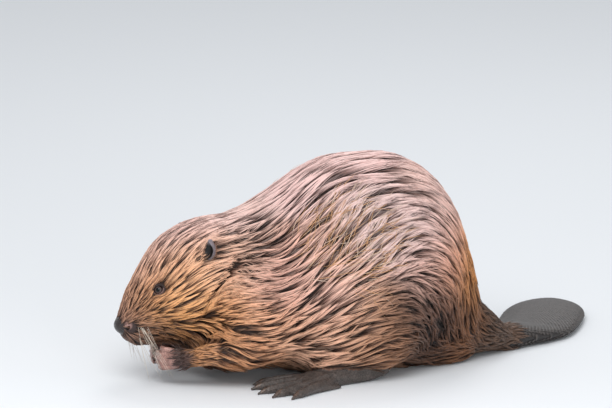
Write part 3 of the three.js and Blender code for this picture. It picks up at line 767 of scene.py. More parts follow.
def open_up(hollows, places, under):
    """Moves strands out of the hollows. Returns the moved places and how deep in a hollow each one lies."""
    moved, depth = places.copy(), np.zeros(len(places))
    for low in range(-SLAB, 600, SLAB):
        mine = np.flatnonzero((places[:, 0] >= low) & (places[:, 0] < low + SLAB))
        close = np.flatnonzero(np.abs(hollows["start"][:, 0] - low - SLAB / 2) < LONGEST_OPENING + SLAB / 2)
        for side in SIDES.values():
            some = mine[np.sign(places[mine, 1] + 1e-6) == side]
            those = close[hollows["start"][close, 1] * side > -MIDDLE_OVERLAP]
            if not len(some) or not len(those):
                continue
            gap = places[some][:, None] - hollows["start"][those][None]
            along = (gap * hollows["lie"][those]).sum(2) / hollows["length"][those]
            inside = np.clip(along, 0, 1)
            across = (gap * hollows["aside"][those]).sum(2) - hollows["bend"][those] * inside ** 2
            above = np.abs((gap * hollows["up"][those]).sum(2))
            close_by = above < HOLLOW_DEPTH + HOLLOW_SINK * inside * hollows["length"][those]
            half = hollows["half"][those] * HOLLOW_SHAPE * inside ** 0.4 * (1 - inside)
            room = HOLLOW_REACH * hollows["half"][those]
            ratio = np.where((along > 0) & (along < 1) & close_by, np.abs(across) / room, np.inf)
            best = ratio.argmin(1)
            rows = np.arange(len(some))
            half, room, across, ratio = half[rows, best], room[best], across[rows, best], ratio[rows, best]
            touched = ratio < 1
            push = np.where(across < 0, -1, 1) * (half + np.abs(across) * (1 - half / room)) - across
            push = np.where(touched & ~under[some], push, 0)
            moved[some] += hollows["aside"][those][best] * push[:, None]
            depth[some] = np.where(touched, smooth(1.2, 0.75, np.abs(across) / np.maximum(half, 0.01)), 0)
    return moved, depth


def crowding(heading, places, normals, length):
    """How many more roots stand where hairs part from each other, so that the coat stays as thick."""
    return np.clip(1 + PARTING_GAIN * length * spreading(heading, places, normals), *PARTING_LIMITS)


def seated(surface, heading, allowed, deep_rows, change):
    """Roots of locks that lie so many rows deep, and each lock's measures, in the order of COAT's columns."""
    length, width = coat_at(surface.places, **change)[:2]
    crowded = crowding(heading, surface.places, surface.normals, length)
    points, normals = surface.scattered(allowed * crowded * CANDIDATES * deep_rows / (width * length))
    measures = coat_at(points, **change)
    length, width = measures[:2]
    closer = crowding(heading, points, normals, length) ** -0.5
    kept = thinned(points, laid(heading, points, normals), ROOT_GAP * width * closer,
                   ROOT_GAP * length / deep_rows * closer)
    sizes = [values[kept] * random.uniform(*VARIED, len(kept)) for values in measures[:4]]
    return points[kept], sizes + [values[kept] for values in measures[4:]]


def open_runs(roots, path):
    """The share of each path that comes before a bare spot, or before the fold that ends most of the cheek's
    hair."""
    run = np.full(len(path), float(STATIONS))
    onward = folded(path[:, 1]) - folded(path[:, 0])
    for spot, bare, _ in PARTINGS:
        blocked = distance(path, spot) < bare
        past = ((folded(path[:, 0]) - spot) * onward).sum(1) > 0
        blocked &= ~(np.logical_and.accumulate(blocked, axis=1) & past[:, None])
        run = np.where(blocked.any(1), np.minimum(blocked.argmax(1) - 0.6, run), run)
    ragged = sum(height * np.sin(roots @ np.array(wave)) for height, wave in RAGGED)
    beyond = behind_fold(path) + ragged[:, None]
    stopped = (beyond[:, 0] < -1) & (FOLD_STOP * fold_share(path[:, 0]) > random.random(len(path)))
    crossed = np.where(stopped & (beyond[:, -1] > 0), (beyond > 0).argmax(1), STATIONS - 1)
    each = np.arange(len(path))
    before, after = beyond[each, crossed - 1], beyond[each, crossed]
    share = np.clip(-before / np.maximum(after - before, 0.1), 0, 1)
    at_fold = crossed - 1 + np.where(stopped, share, STATIONS)
    return np.minimum(run, at_fold) / (STATIONS - 1)


def along_paths(path, ups, at):
    """Points, normals and sideways directions at these stations of each path."""
    low = np.minimum(at.astype(int), STATIONS - 2)
    part = (at - low)[:, :, None]
    each = np.arange(len(path))[:, None]
    middle = path[each, low] * (1 - part) + path[each, low + 1] * part
    normal = unit(ups[each, low] * (1 - part) + ups[each, low + 1] * part)
    return middle, normal, unit(np.cross(normal, unit(path[each, low + 1] - path[each, low])))


def strand_tones(along, exposed, outer, glints, clump, in_hollow):
    """How light each ring of a strand is: a painted shade at its root, at the edge of its lock and in a
    hollow, a painted sheen towards its tip, and a tone that differs at random.
    """
    root = ROOT_TONE + BARE_ROOT_TONE * exposed[clump][:, None]
    tone = root + (TIP_TONE - root) * smooth(0.06, 0.6, along)
    tone = tone * (1 - EDGE_SHADE * outer)[:, None]
    tone = tone * np.exp(random.normal(0, 1, len(glints)) * (0.07 + 0.28 * glints))[clump][:, None]
    tone = tone * np.exp(random.normal(0, 1, len(clump)) * glints[clump])[:, None]
    return np.minimum(tone * (1 - HOLLOW_SHADE * in_hollow), TIP_TONE)[:, :, None]


def grow(surface, heading, allowed, coat, hollows=None, deep_rows=2.1, cover=2.7, lift=1.0, steps=5,
         **change):
    """Locks of the coat, so many rows deep at any place: clumps of strands, drawn together towards their
    tips. Roots stand where allowed is above 0, coat is the share of coat on each of the surface's vertices,
    and change holds factors for the columns of COAT.
    Returns each strand's root, its rings of three points, and a colour for each ring."""
    roots, (length, width, strand, stray, glints, draw) = seated(surface, heading, allowed, deep_rows, change)
    wander = np.sin(roots @ [0.031, 0.027, 0.043] + 1.0) + np.sin(roots @ [-0.052, 0.041, 0.035])
    turn = np.radians(stray * random.normal(0, 0.8, len(roots)) + np.minimum(stray, 3.5) * wander)
    spread = length / deep_rows * SPREAD
    path, ups = traced(surface, heading, roots, length + spread, turn)
    open_run = open_runs(roots, path)
    exposed = 1 - surface.sampled(roots - UNCOVERED * laid(heading, roots, ups[:, 0]), coat)

    # Each lock's strands: where they lie across it, and where they start and end along its path.
    count = np.maximum(np.round(cover * width / strand), 1).astype(int)
    clump = np.repeat(np.arange(len(roots)), count)
    number = np.arange(len(clump)) - np.repeat(np.cumsum(count) - count, count)
    share = (number + random.random(len(clump))) / count[clump]
    outer = (2 * share - 1) ** 2  # 0 in the middle of its lock and 1 at its edge
    aside = (share - 0.5) * ROOTS_APART * width[clump]
    start = random.random(len(clump)) * spread[clump]
    total = (length + spread)[clump]
    end = total * random.uniform(*STRAND_ENDS, len(clump)) * (1 - EDGE_SHORTER * outer)
    end = np.minimum(end, open_run[clump] * total * random.uniform(*CUT_ENDS, len(clump)))
    along = np.linspace(0, 1, steps + 1)
    at = (start[:, None] + (end - start)[:, None] * along) / total[:, None] * (STATIONS - 1)
    middle, normal, side = along_paths(path[clump], ups[clump], at)

    # Their shape: drawn together, bent and waved sideways, and rising from the skin to their tips.
    tight = 1 - draw[clump][:, None] * smooth(0.0, 0.95, along)
    bend = random.normal(0, BEND, len(roots))[clump] * total
    curl = random.normal(0, CURL, len(clump))[:, None]
    curl = curl * np.sin(along * CURL_TURN + random.uniform(0, 6, len(clump))[:, None])
    shift = aside[:, None] * tight + bend[:, None] * along ** 2 + curl * strand[clump][:, None]
    rise = blended(roots, RISE, RISE_REACH)[clump] * lift
    height = rise * (smooth(-0.25, 0.8, along) - ROOT_LOWER) * (1 - EDGE_LOWER * outer)[:, None]
    height += random.normal(0, RISE_VARIED, len(clump))[:, None] * rise * along - ROOT_SUNK * (along == 0)
    centre = middle + side * shift[:, :, None]
    under = np.repeat(random.random(len(clump)) < UNDER_SHARE, steps + 1)
    deep = np.zeros(len(under))
    if hollows:
        spots, deep = open_up(hollows, centre.reshape(-1, 3), under)
        centre = spots.reshape(centre.shape)
    in_hollow = (deep * under).reshape(len(clump), -1)
    centre = centre + normal * (height * (1 - HOLLOW_LOWER * in_hollow))[:, :, None]

    # Their cross-section: three points about the middle, closer together towards the tip.
    roll = random.normal(0, ROLL, len(clump))[:, None, None]
    across = side * np.cos(roll) + normal * np.sin(roll)
    upward = normal * np.cos(roll) - side * np.sin(roll)
    half = strand[clump][:, None] * 0.5 * (0.65 + 0.35 * smooth(0, 0.3, along))
    half = half * (1 - TIP_THINNER * smooth(0.5, 1, along)) * (1 - HOLLOW_THINNER * in_hollow)
    half = half[:, :, None]
    rings = np.stack([centre - across * half, centre + upward * half * 1.1, centre + across * half], 2)

    tone = strand_tones(along, exposed, outer, glints, clump, in_hollow)
    colour = markings_and_painted_light(centre.reshape(-1, 3)).reshape(*centre.shape)
    colour = colour * tone * (1 - DARK_WARMTH * smooth(0.9, 0.1, tone))
    colour *= np.minimum(1, PALEST / colour.max(2, keepdims=True))
    long_enough = end - start > SHORTEST
    return roots[clump][long_enough], rings[long_enough], colour[long_enough]


PATCH = 0.003  # size of each strand's place on the map


def lock_mesh(name, rings, colours, roots, centre):
    """Closed three-sided strands that end in a point. The map unrolls the skin round a centre in the body,
    and each strand has a patch of it where its root is."""
    count, stations = rings.shape[:2]
    body = rings[:, :-1].reshape(count, -1, 3)
    tip = rings[:, -1].mean(1, keepdims=True)
    places = np.concatenate([body, tip], 1)
    places[:, :, 2] = np.maximum(places[:, :, 2], LOWEST_HAIR)
    faces = [(0, 2, 1)]
    for ring in range(stations - 2):
        for corner in range(3):
            a, b = 3 * ring + corner, 3 * ring + (corner + 1) % 3
            faces += [(a, b, b + 3), (a, b + 3, a + 3)]
    last = 3 * (stations - 2)
    faces += [(last + corner, last + (corner + 1) % 3, last + 3) for corner in range(3)]
    faces = np.array(faces)
    each = places.shape[1]
    triangles = (faces[None] + each * np.arange(count)[:, None, None]).reshape(-1, 3)
    piece = new_piece(name, places.reshape(-1, 3), triangles)

    shades = np.concatenate([np.repeat(colours[:, :-1], 3, axis=1), colours[:, -1:]], 1)
    paint(piece, shades.reshape(-1, 3))
    from_centre = unit(roots - centre)
    turn = np.arctan2(from_centre[:, 2], from_centre[:, 1]) / (2 * math.pi) + 0.5
    reach = np.arccos(np.clip(from_centre[:, 0], -1, 1)) / math.pi
    corner = np.array([(0.5 * (n % 3), n // 3 / stations) for n in range(each - 1)] + [(0.5, 1)])
    patch = np.stack([turn, reach], 1)[:, None] * (1 - PATCH) + corner * PATCH
    layer = piece.data.uv_layers.new(name="OFBake")
    layer.data.foreach_set("uv", patch.reshape(-1, 2)[triangles.ravel()].astype(np.float32).ravel())
    return piece


# ---- Bare parts: lids, nostrils, mouth and ears ----------------------------------------------------------

def around(places, centre, axis, line):
    """Places seen from a spot on the body: along a line, up from it, and out along the axis."""
    gap = places - centre
    rise = np.cross(axis, line)
    return gap @ line, gap @ (rise * np.sign(rise[2])), gap @ axis


LID_GAP = 0.45  # between the eyeball and the skin of the lids (mm)
UPPER_LID, LOWER_LID = 1.5, 0.9  # height of the lids' rims
SOCKET_DEPTH = 5


def lid_shape(places):
    """How far each place moves out to form the lids round the eye, or in to form the socket."""
    x, y, out = around(places, EYE, EYE_AXIS, EYE_LINE)
    ring = np.hypot(x / OPENING[0], y / OPENING[1])
    edge = np.maximum(ring, 1e-3)
    rim = np.sqrt(np.maximum(EYE_RADIUS ** 2 - (x / edge) ** 2 - (y / edge) ** 2, 0)) + LID_GAP
    fold = np.where(y > 0, UPPER_LID, LOWER_LID) * smooth(0.95, 1.2, ring) * smooth(2.1, 1.25, ring)
    aim = np.where(ring < 1, rim - SOCKET_DEPTH * smooth(1.0, 0.72, ring), rim + fold)
    hold = smooth(2.3, 1.35, ring) * (out > -8) * (out < 12)
    return (aim - out) * hold


NOSTRIL_HALF = 4.8, 2.4  # half its length and width (mm)
NOSTRIL_RIM, NOSTRIL_DEPTH = 0.9, 3.6


def nostril_shape(places):
    """How far each place moves out to form the nostril's rim and hollow, and how far it is from its middle,
    with 1 at its edge."""
    line = unit(np.cross(np.cross(NOSTRIL_AXIS, [0.7, 0.4, 0.45]), NOSTRIL_AXIS))
    x, y, out = around(places, NOSTRIL, NOSTRIL_AXIS, line)
    y = y - 0.05 * x ** 2
    ring = np.hypot(x / NOSTRIL_HALF[0], y / NOSTRIL_HALF[1])
    rim = NOSTRIL_RIM * smooth(0.9, 1.3, ring) * smooth(2.4, 1.4, ring)
    hollow = NOSTRIL_DEPTH * smooth(1.05, 0.45, ring)
    return (rim - hollow) * (np.abs(out) < 9), ring


MOUTH_DEPTH, FOLD_DEPTH = 2.2, 4.5  # of the creases (mm)
EAR_PINCH, EAR_RISE = 0.5, 0.15  # how far the ear's tip is narrowed and drawn up
EAR_UP = np.array([0.2, 0, 1])


def sculpt(skin):
    """Shapes the lids, the nostrils, the mouth's crease, the neck's fold and the ears' tips.
    Returns each vertex's part and how deep in the mouth's crease it lies."""
    places = places_of(skin)
    for side in SIDES.values():
        mirror = np.array([1, side, 1])
        mine = np.flatnonzero((places[:, 1] * side > 0) & (places[:, 0] < 90))
        local = places[mine] * mirror
        local += EYE_AXIS * lid_shape(local)[:, None]
        local += NOSTRIL_AXIS * nostril_shape(local)[0][:, None]
        places[mine] = local * mirror
    move_to(skin, places)
    parts = parts_at(places)
    jaw = among(parts, "lower_jaw").astype(float)[:, None]
    jaw = relaxed(jaw, edges_of(skin), 6)[:, 0]
    crease = (4 * jaw * (1 - jaw)) ** 2 * smooth(80, 60, places[:, 0])
    fold = smooth(7, 0, np.abs(behind_fold(places) - 1)) * fold_share(places)
    sunk = MOUTH_DEPTH * crease + FOLD_DEPTH * fold
    places = places - normals_of(skin) * sunk[:, None]
    ear = among(parts, "ear")
    aside = np.cross(EAR_FRONT, [0, 0, 1.0])
    local = folded(places) - EAR
    pinch = EAR_PINCH * smooth(0, 15, local[:, 2]) * (local @ aside) * ear
    rise = EAR_RISE * np.maximum(local[:, 2], 0) * ear
    local = local - pinch[:, None] * aside + rise[:, None] * EAR_UP
    move_to(skin, (local + EAR) * side_of(places))
    return parts, crease


# The hide's darkness under the coat is partly its own dark colour and partly a painted shade between the
# locks.
HIDE_SHADE = 0.97  # how much darker the hide is under the coat than the coat's own markings
# Of these, the ear's blue-grey is a painted sheen of its wet skin; the rest are the parts' own colours.
BARE_COLOURS = {
    "nose": "#2A2120", "ear": "#827A80", "hand": "#A07A70", "hind_foot": "#4C4440", "tail_blade": "#2E2A29",
    "forearm": "#3A2E2A", "eye": "#1E1615",
}


def skin_colours(surface, parts, furred, crease):
    """Colours of the bare skin, and of the dark hide under the coat, with painted shade in the nostrils, the
    ears' canals and the mouth's crease.
    """
    places, normals = folded(surface.places), surface.normals * side_of(surface.places)
    colours = markings_and_painted_light(surface.places) * (1 - HIDE_SHADE * furred)[:, None]
    colours = colours * (1 - DARK_WARMTH * furred[:, None])
    for name, shade in BARE_COLOURS.items():
        colours = np.where(among(parts, name)[:, None], linear(shade), colours)

    def tint(hex_colour, share):
        colours[:] += (np.array(linear(hex_colour)) - colours) * share[:, None]

    # The nose: dark leather round the nostril, pink above it and black inside, a painted shade in the
    # nostril's hollow.
    ring = nostril_shape(places)[1]
    spot = np.linalg.norm(places - (NOSTRIL + [2.5, 2.0, 3.0]), axis=1)
    tint("#3A2D2B", smooth(10.5, 7.5, spot))
    tint("#AC867E", 0.85 * smooth(7.0, 3.0, np.linalg.norm(places - NOSTRIL - [1, 1, 4.5], axis=1)))
    tint("#140E0D", smooth(1.1, 0.7, ring) * (spot < 12))

    # The lids: dark, with the lower one's edge paler.
    x, y, out = around(places, EYE, EYE_AXIS, EYE_LINE)
    ring = np.hypot(x / OPENING[0], y / OPENING[1])
    close = np.abs(out) < 9
    tint("#2B1F1D", smooth(1.9, 1.4, ring) * close)
    tint("#8F6F68", 0.7 * (smooth(1.45, 1.2, ring) * smooth(0.9, 1.05, ring) * (y < -1) * close))

    # Painted shade in the ear's canal and cup and in the crease of the mouth; and the hands darker on the
    # faces that turn towards the middle of the body.
    canal = np.linalg.norm(places - EAR_CANAL, axis=1)
    tint("#0C0808", smooth(19, 12, canal) * smooth(0.1, 0.5, normals @ EAR_FRONT) * among(parts, "ear"))
    tint("#6E4A44", 0.6 * smooth(0.15, 0.6, normals @ [0, -1, 0]) * among(parts, "hand"))
    tint("#1A1210", 0.9 * crease)
    return colours


def skin_finishes():
    """Materials of the skin, and the parts that wear them. The cells of nose, ear and palm are drawn about
    twice as coarse as real ones, so that they show."""
    return {
        # Only seen between locks, dull and dark.
        hide("wet hide under the fur", 0.7, 0.8, 0.2): (*FURRED, "forearm"),
        # Fine pebbles under a wet film, with small sharp glints.
        hide("damp nose leather", 0.4, 0.7, 0.35, film=0.6): ("nose", "eye"),
        # Nearly smooth and thin, with a soft gleam along its rim.
        hide("thin wet ear skin", 0.42, 1.1, 0.15, film=0.3): ("ear",),
        # Soft, creased and blotched, and wet all over.
        hide("damp bare palm skin", 0.42, 1.3, 0.35, film=0.5, mottle=0.3): ("hand",),
        # Horny scales about 2 mm wide, duller than the palms.
        hide("scaly foot hide", 0.5, 2.2, 0.6, film=0.3, mottle=0.3): ("hind_foot",),
        # The leather in the joints between the tail's scales.
        hide("leathery tail hide", 0.5, 1.6, 0.4, film=0.3): ("tail_blade",),
    }


def dress_skin(skin, parts):
    """Gives each part of the skin its own finish."""
    corner = corners_of_faces(skin)
    chosen = np.zeros(len(corner), np.int32)
    for slot, (material, names) in enumerate(skin_finishes().items()):
        skin.data.materials.append(material)
        chosen[among(parts[corner], *names)] = slot
    skin.data.polygons.foreach_set("material_index", chosen)


# ---- Separate hard parts: eyes, claws, whiskers and scales -----------------------------------------------

def laid_out(model, name, origins, frames):
    """One mesh of copies of a model, each at its own place, with its own frame of axes as rows (mm)."""
    shape, triangles = read(model.data.vertices, "co", 3).astype(float), corners_of(model)
    places = origins[:, None] + np.einsum("vk,nkj->nvj", shape, frames)
    places[:, :, 2] = np.maximum(places[:, :, 2], LOWEST_HORN)
    triangles = triangles[None] + len(shape) * np.arange(len(origins))[:, None, None]
    return new_piece(name, places.reshape(-1, 3), triangles.reshape(-1, 3))


def frames_along(run, up, sizes):
    """Frames whose first axis runs along and whose third is near up, with their sizes in mm."""
    first = unit(run)
    second = unit(np.cross(up, first))
    third = np.cross(first, second)
    return np.stack([first, second, third], 1) * sizes


def eyeball_model():
    """A ball of unit radius about the origin, a little raised over the cornea, looking along Z."""
    bpy.ops.object.select_all(action="DESELECT")
    bpy.ops.mesh.primitive_uv_sphere_add(segments=40, ring_count=30, radius=1)
    ball = bpy.context.object
    for vertex in ball.data.vertices:
        vertex.co *= 1 + 0.06 * float(smooth(0.6, 1.0, vertex.co.z))
    return ball


def make_eyes():
    """Eyeballs with a dark white, a brown iris and a black pupil, as bands of the ball's height."""
    model = eyeball_model()
    heights = np.array([vertex.co.z for vertex in model.data.vertices])
    colours = np.full((len(heights), 3), linear("#181110"))
    for shade, low, high in (("#54433E", 0.72, 0.78), ("#040303", 0.90, 0.93)):
        colours += (np.array(linear(shade)) - colours) * smooth(low, high, heights)[:, None]
    for name, side in SIDES.items():
        mirror = np.array([1, side, 1])
        axis, line = EYE_AXIS * mirror, EYE_LINE * mirror
        frame = np.stack([line, np.cross(axis, line), axis]) * EYE_RADIUS
        ball = laid_out(model, f"eyeball_{name}", (EYE * mirror)[None], frame[None])
        paint(ball, colours)
        ball.data.materials.append(wet_eye())
        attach(ball, "root")
        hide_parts(f"eye_{name}")
    bpy.data.objects.remove(model)


def drawn_out(face, steps):
    """Extrudes a flat face in steps, each a move and then a resize about a point, to a closed shape."""
    bpy.ops.object.mode_set(mode="EDIT")
    bpy.ops.mesh.select_all(action="SELECT")
    for move, size, centre in steps:
        bpy.ops.mesh.extrude_region_move(TRANSFORM_OT_translate={"value": move})
        bpy.ops.transform.resize(value=size, center_override=centre)
    bpy.ops.mesh.select_all(action="SELECT")
    bpy.ops.mesh.normals_make_consistent(inside=False)
    bpy.ops.object.mode_set(mode="OBJECT")
    return face


CLAW_ROOT, CLAW_DROP, CLAW_ROUNDS = 0.22, 0.28, 7  # for a claw of unit length
CLAW_TAPER, CLAW_POINT = 1.6, 0.86


def claw_model():
    """A claw of unit length along X: a tapered, down-curved horn from a round root to a blunt point."""
    bpy.ops.object.select_all(action="DESELECT")
    bpy.ops.mesh.primitive_circle_add(vertices=10, radius=CLAW_ROOT, fill_type="NGON",
                                      rotation=(0, math.pi / 2, 0))
    bpy.ops.object.transform_apply(location=False, rotation=True, scale=False)
    steps = []
    for n in range(CLAW_ROUNDS):
        before, reach = n / CLAW_ROUNDS, (n + 1) / CLAW_ROUNDS
        drop = -CLAW_DROP * reach ** 2
        size = (1 - reach ** CLAW_TAPER * CLAW_POINT) / (1 - before ** CLAW_TAPER * CLAW_POINT)
        move = (reach - before, 0, drop + CLAW_DROP * before ** 2)
        steps.append((move, (1, size, size), (reach, 0, drop)))
    return drawn_out(bpy.context.object, steps)


# Sizes of hands and feet, as the solids have them (mm and degrees).
HAND_KNUCKLE = np.array([64, 38, 36.5])
HAND_DIGITS, FINGER, KNUCKLE_STEP, HAND_CLAW = 5, 24, 5.2, 9
RIGHT_HAND_SHIFT = np.array([8, 0, -4])
HEEL, SOLE, TOEING = np.array([330, 88, 15]), 106, 11
TOES, TOE, TOE_FAN, TOE_RADIUS, FOOT_CLAW = 5, 62, 11.5, 7.5, 14


def claw_seats():
    """Where each claw leaves its finger or toe, and its run to its tip, on the right side."""
    seats = []
    for n in range(HAND_DIGITS):
        row = n - (HAND_DIGITS - 1) / 2
        reach = FINGER * (0.62 if n == HAND_DIGITS - 1 else 1 - 0.06 * row * row)
        root = HAND_KNUCKLE + [-0.5 * reach, -0.84 * reach, KNUCKLE_STEP * row + 1.4 * row]
        tip = HAND_KNUCKLE + [-0.34 * reach, -0.84 * reach - HAND_CLAW, KNUCKLE_STEP * row + 1.4 * row + 1]
        seats.append(("hand", root, tip))
    for n in range(TOES):
        row = n - (TOES - 1) / 2
        ball, splay = math.radians(TOEING + 5.5 * row), math.radians(TOEING + TOE_FAN * row)
        length = TOE * (1 - 0.055 * row * row)
        start = HEEL + SOLE * 0.78 * np.array([-math.cos(ball), math.sin(ball), 0])
        onward = np.array([-math.cos(splay), math.sin(splay), 0])
        root = start + onward * (0.92 * length + SOLE * 0.2)
        tip = start + onward * (length + FOOT_CLAW + SOLE * 0.2)
        root[2] = tip[2] = TOE_RADIUS * 0.85
        seats.append(("foot", root, tip))
    return seats


def make_claws():
    model = claw_model()
    finish = horn("dark claw horn", "#6A5548", "#2A201C", 2.0)
    for limb in ("hand", "foot"):
        for name, side in SIDES.items():
            mirror = np.array([1, side, 1])
            shift = RIGHT_HAND_SHIFT if limb == "hand" and name == "right" else 0
            ends = [(root + shift, tip + shift) for kind, root, tip in claw_seats() if kind == limb]
            roots, tips = (np.array(some) * mirror for some in zip(*ends))
            lengths = np.linalg.norm(tips - roots, axis=1)[:, None, None]
            up = np.array([0, 0, 1.0]) if limb == "foot" else np.array([-1.0, 0, 0.2])
            frames = frames_along(tips - roots, np.broadcast_to(up, roots.shape), lengths)
            claws = laid_out(model, f"{limb}_claws_{name}", roots, frames)
            claws.data.materials.append(finish)
            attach(claws, "root")
    bpy.data.objects.remove(model)


WHISKERS, WHISKER_STEPS = 15, 10  # on each side, and rings on each
WHISKER_BED = (17, 0, 62), (36, 0, 82)  # corners of the patch that they grow from
WHISKER_LENGTH, WHISKER_ROOT, WHISKER_TAPER = (28, 66), 0.34, 0.19


def make_whiskers(surface):
    """Long tapered bristles from the upper lip, which droop outwards and back."""
    finish = horn("pale whisker bristle", "#E0D6C8", "#B8A898", 8.0)
    along = np.linspace(0, 1, WHISKER_STEPS)
    for name, side in SIDES.items():
        spots = random.uniform(*WHISKER_BED, (WHISKERS, 3)) + [0, 36 * side, 0]
        roots, normals = surface.nearest(spots)
        length = random.uniform(*WHISKER_LENGTH, WHISKERS)
        run = unit(normals * 0.45 + random.normal(0, 0.14, (WHISKERS, 3)) + [0.42, 0.1 * side, -0.85])
        sag = np.array([0.25, 0, -0.35]) * random.uniform(-0.2, 0.8, (WHISKERS, 1))
        path = roots[:, None] - normals[:, None] + length[:, None, None] * (
            run[:, None] * along[:, None] + sag[:, None] * along[:, None] ** 2)
        across = unit(np.cross(run, [0, 1.0, 0.3]))[:, None]
        other = unit(np.cross(run, across[:, 0]))[:, None]
        radius = (WHISKER_ROOT - WHISKER_TAPER * along)[None, :, None]
        rings = np.stack([path + radius * (math.cos(turn) * across + math.sin(turn) * other)
                          for turn in (0, 2 * math.pi / 3, 4 * math.pi / 3)], 2)
        colours = np.zeros((WHISKERS, WHISKER_STEPS, 3))
        bristles = lock_mesh(f"whiskers_{name}", rings, colours, roots, np.array([30, 0, 80]))
        bristles.data.materials.append(finish)
        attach(bristles, "root")


def scale_model():
    """A tail scale of unit length along X: a six-sided plate with a low dome."""
    bpy.ops.object.select_all(action="DESELECT")
    bpy.ops.mesh.primitive_circle_add(vertices=6, radius=0.56, fill_type="NGON")
    steps = [((0, 0, rise), (size, size, 1), (0, 0, 0)) for rise, size in ((0.1, 0.92), (0.06, 0.6))]
    return drawn_out(bpy.context.object, steps)


TAIL_START, TAIL_ROOT, TAIL_BLADE, TAIL_SWEEP = np.array([470, 0, 42]), 92, 250, 62
SCALE_ROWS, SCALE_STEP = 4.2, 5.0  # from row to row, and from scale to scale in a row (mm)
SCALE_SIZE = np.array([[5.6], [5.2], [5.6]])
SCALES_ACROSS = 13  # on either side of the middle, more than the blade is wide


def tail_line():
    """Places and headings, a millimetre apart, along the middle of the tail."""
    total = TAIL_ROOT + TAIL_BLADE
    turn = np.radians(TAIL_SWEEP) * smooth(-0.25 * total, 0.75 * total, np.arange(total + 8))
    heading = np.stack([np.cos(turn), np.sin(turn), 0 * turn], 1)
    return TAIL_START * [1, 1, 0] + np.cumsum(heading, 0), heading


def make_scales(surface, parts):
    """Rows of horny scales over both faces of the tail's blade."""
    model = scale_model()
    middle, heading = tail_line()
    blade = number_of("tail_blade")
    finish = horn("dark tail scale", "#4A423E", "#1F1B1A", 3.0)
    for face, way in (("upper", -1), ("under", 1)):
        origins, frames = [], []
        for row, length in enumerate(np.arange(TAIL_ROOT - 8, TAIL_ROOT + TAIL_BLADE + 6, SCALE_ROWS)):
            place, along = middle[int(length)], heading[int(length)]
            across = np.array([-along[1], along[0], 0])
            for step in range(-SCALES_ACROSS, SCALES_ACROSS + 1):
                spot = place + across * SCALE_STEP * (step + 0.5 * (row % 2))
                below = Vector((*spot[:2], -60 * way))
                hit, normal, corner, _ = surface.tree.ray_cast(below, Vector((0, 0, way)))
                if hit is None or parts[surface.corners[corner][0]] != blade or hit.z < 1.2:
                    continue
                origins.append(hit)
                size = random.uniform(0.92, 1.06) * SCALE_SIZE
                frames.append(frames_along(along[None], np.array(normal)[None], size)[0])
        plates = laid_out(model, f"tail_scales_{face}", np.array(origins), np.array(frames))
        plates.data.polygons.foreach_set("use_smooth", np.zeros(len(plates.data.polygons), bool))
        plates.data.materials.append(finish)
        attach(plates, "root")
    bpy.data.objects.remove(model)


# ---- Assembly -------------------------------------------------------------------------------------------

# Places with few openings, and with loose pale hairs: where, how far they reach (mm), and how strongly.
SMOOTH_SPOTS = [((385, 100, 195), (75, 60, 60), 0.65), ((185, 100, 70), (50, 60, 42), 0.7),
                ((310, 135, 75), (70, 60, 45), 0.75)]
STRAGGLY_SPOT = (262, 105, 175), (80, 60, 70)
# The coat is cut here, so that no piece is too large: distances behind the nose tip (mm).
BANDS = (-50, 60, 100, 150, 200, 250, 300, 350, 400, 440, 600)
CORE_HEIGHT = 110  # of the points that the coat's map is unrolled round
UNDERFUR_SHADE, STRAW_SHARE = 0.3, 0.6

set_stage()
skin = make_skin()
skin_parts, crease = sculpt(skin)
surface = Surface(skin)
edges = edges_of(skin)


def covered(*names):
    """Share of the coat on each vertex of the skin: 1 on these parts, fading at their edges."""
    return relaxed(among(skin_parts, *names).astype(float)[:, None], edges, 3)[:, 0]


def masks():
    """Shares of each vertex of the skin: in the coat at all, in each of its batches, and with openings."""
    behind, up = surface.places[:, 0], surface.places[:, 2]
    x, y, out = around(folded(surface.places), EYE, EYE_AXIS, EYE_LINE)
    lids = smooth(1.25, 1.5, np.hypot(x / OPENING[0], y / OPENING[1]) + 9 * (np.abs(out) > 9))
    snout = smooth(6.0, 8.5, distance(surface.places, NOSTRIL + [1.5, 1.0, 1.5]))
    furred = covered(*FURRED) + covered("nose") * smooth(80, 86, up) * smooth(3, 7, behind)
    furred = (furred + covered("forearm") * smooth(92, 102, behind)) * lids * snout
    muzzle = smooth(40, 34, behind - 0.35 * (up - 75))
    beyond = behind_fold(folded(surface.places))
    smoothest = sum(share * near(surface.places, spot, reach) for spot, reach, share in SMOOTH_SPOTS)
    return furred, {
        "under": furred * smooth(20, 40, behind),
        "muzzle": furred * muzzle,
        "face": furred * ((1 - muzzle) * smooth(125, 115, behind)),
        "body": furred * smooth(115, 125, behind),
        "fold": furred * (smooth(-1, 1, beyond) * smooth(17, 11, beyond) * fold_share(surface.places)),
        "arm": covered("forearm") * smooth(128, 116, behind),
        "stray": furred * near(surface.places, *STRAGGLY_SPOT),
        "open": furred * smooth(6, 20, behind) * (1 - smoothest),
    }


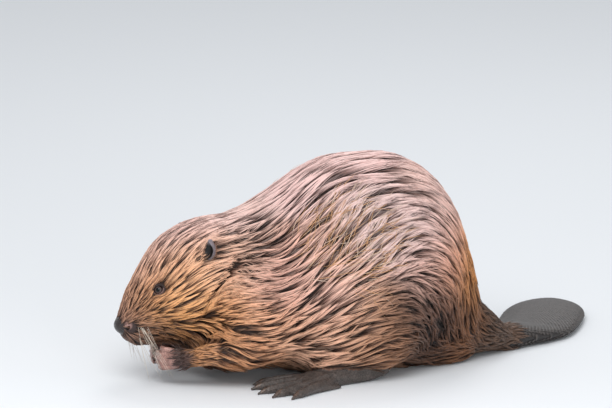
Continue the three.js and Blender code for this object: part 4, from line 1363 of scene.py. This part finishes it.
def tinted(title, roots, colours):
    """A batch's own colours: darker underfur, partly its own colour and partly a painted shade under the
    coat, darker wrists, and loose hairs that are straw or pale, with a painted shade towards their roots.
    """
    if title == "under":
        return UNDERFUR_SHADE * colours
    if title == "arm":
        dark = np.array(linear("#5E4C46")) / np.array(linear("#A07850"))
        return colours * (1 + (dark - 1) * smooth(104, 92, roots[:, 0])[:, None, None])
    if title == "stray":
        straw = random.random(len(roots))[:, None, None] < STRAW_SHARE
        shade = smooth(0, 0.5, np.linspace(0, 1, colours.shape[1]))[None, :, None]
        return np.where(straw, linear("#DCA878"), linear("#E8CDB8")) * (0.25 + 0.75 * shade)
    return colours


furred, share = masks()
hollows = make_hollows(surface, share["open"])
body = surface, body_heading
batches = {
    "under": grow(*body, share["under"], furred, deep_rows=1.2, cover=1.3, lift=0.25, steps=3,
                  length=0.5, width=0.8, strand=1.3, stray=2),
    "muzzle": grow(*body, share["muzzle"], furred, hollows, deep_rows=2.5, steps=3),
    "face": grow(*body, share["face"], furred, hollows, deep_rows=1.9, cover=3.0),
    "body": grow(*body, share["body"], furred, hollows),
    "fold": grow(*body, share["fold"], furred, hollows, deep_rows=2.6, length=0.55),
    "arm": grow(surface, arm_heading, share["arm"], furred, lift=0.35, steps=3,
                length=0.45, width=0.5, strand=0.9),
    "stray": grow(*body, share["stray"], furred, deep_rows=2.6, cover=0.1, lift=1.2, steps=4,
                  width=0.3, length=0.8, strand=0.6, stray=5),
}
fur = wet_fur()
for title, (roots, rings, colours) in batches.items():
    colours = tinted(title, roots, colours)
    for n, (low, high) in enumerate(zip(BANDS, BANDS[1:])):
        centre = np.array([(low + high) / 2, 0, CORE_HEIGHT])
        for name, side in SIDES.items():
            mine = (roots[:, 0] >= low) & (roots[:, 0] < high) & (np.sign(roots[:, 1]) == side)
            if not mine.any():
                continue
            piece_name = f"{title}_locks_{n + 1}_{name}"
            piece = lock_mesh(piece_name, rings[mine], colours[mine], roots[mine], centre)
            piece.data.materials.append(fur)
            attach(piece, "root")

paint(skin, skin_colours(surface, skin_parts, furred, crease))
dress_skin(skin, skin_parts)
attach(skin, "root")
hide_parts(*[name for name in nodes if not name.startswith("eye")])
make_eyes()
make_claws()
make_whiskers(surface)
make_scales(surface, skin_parts)
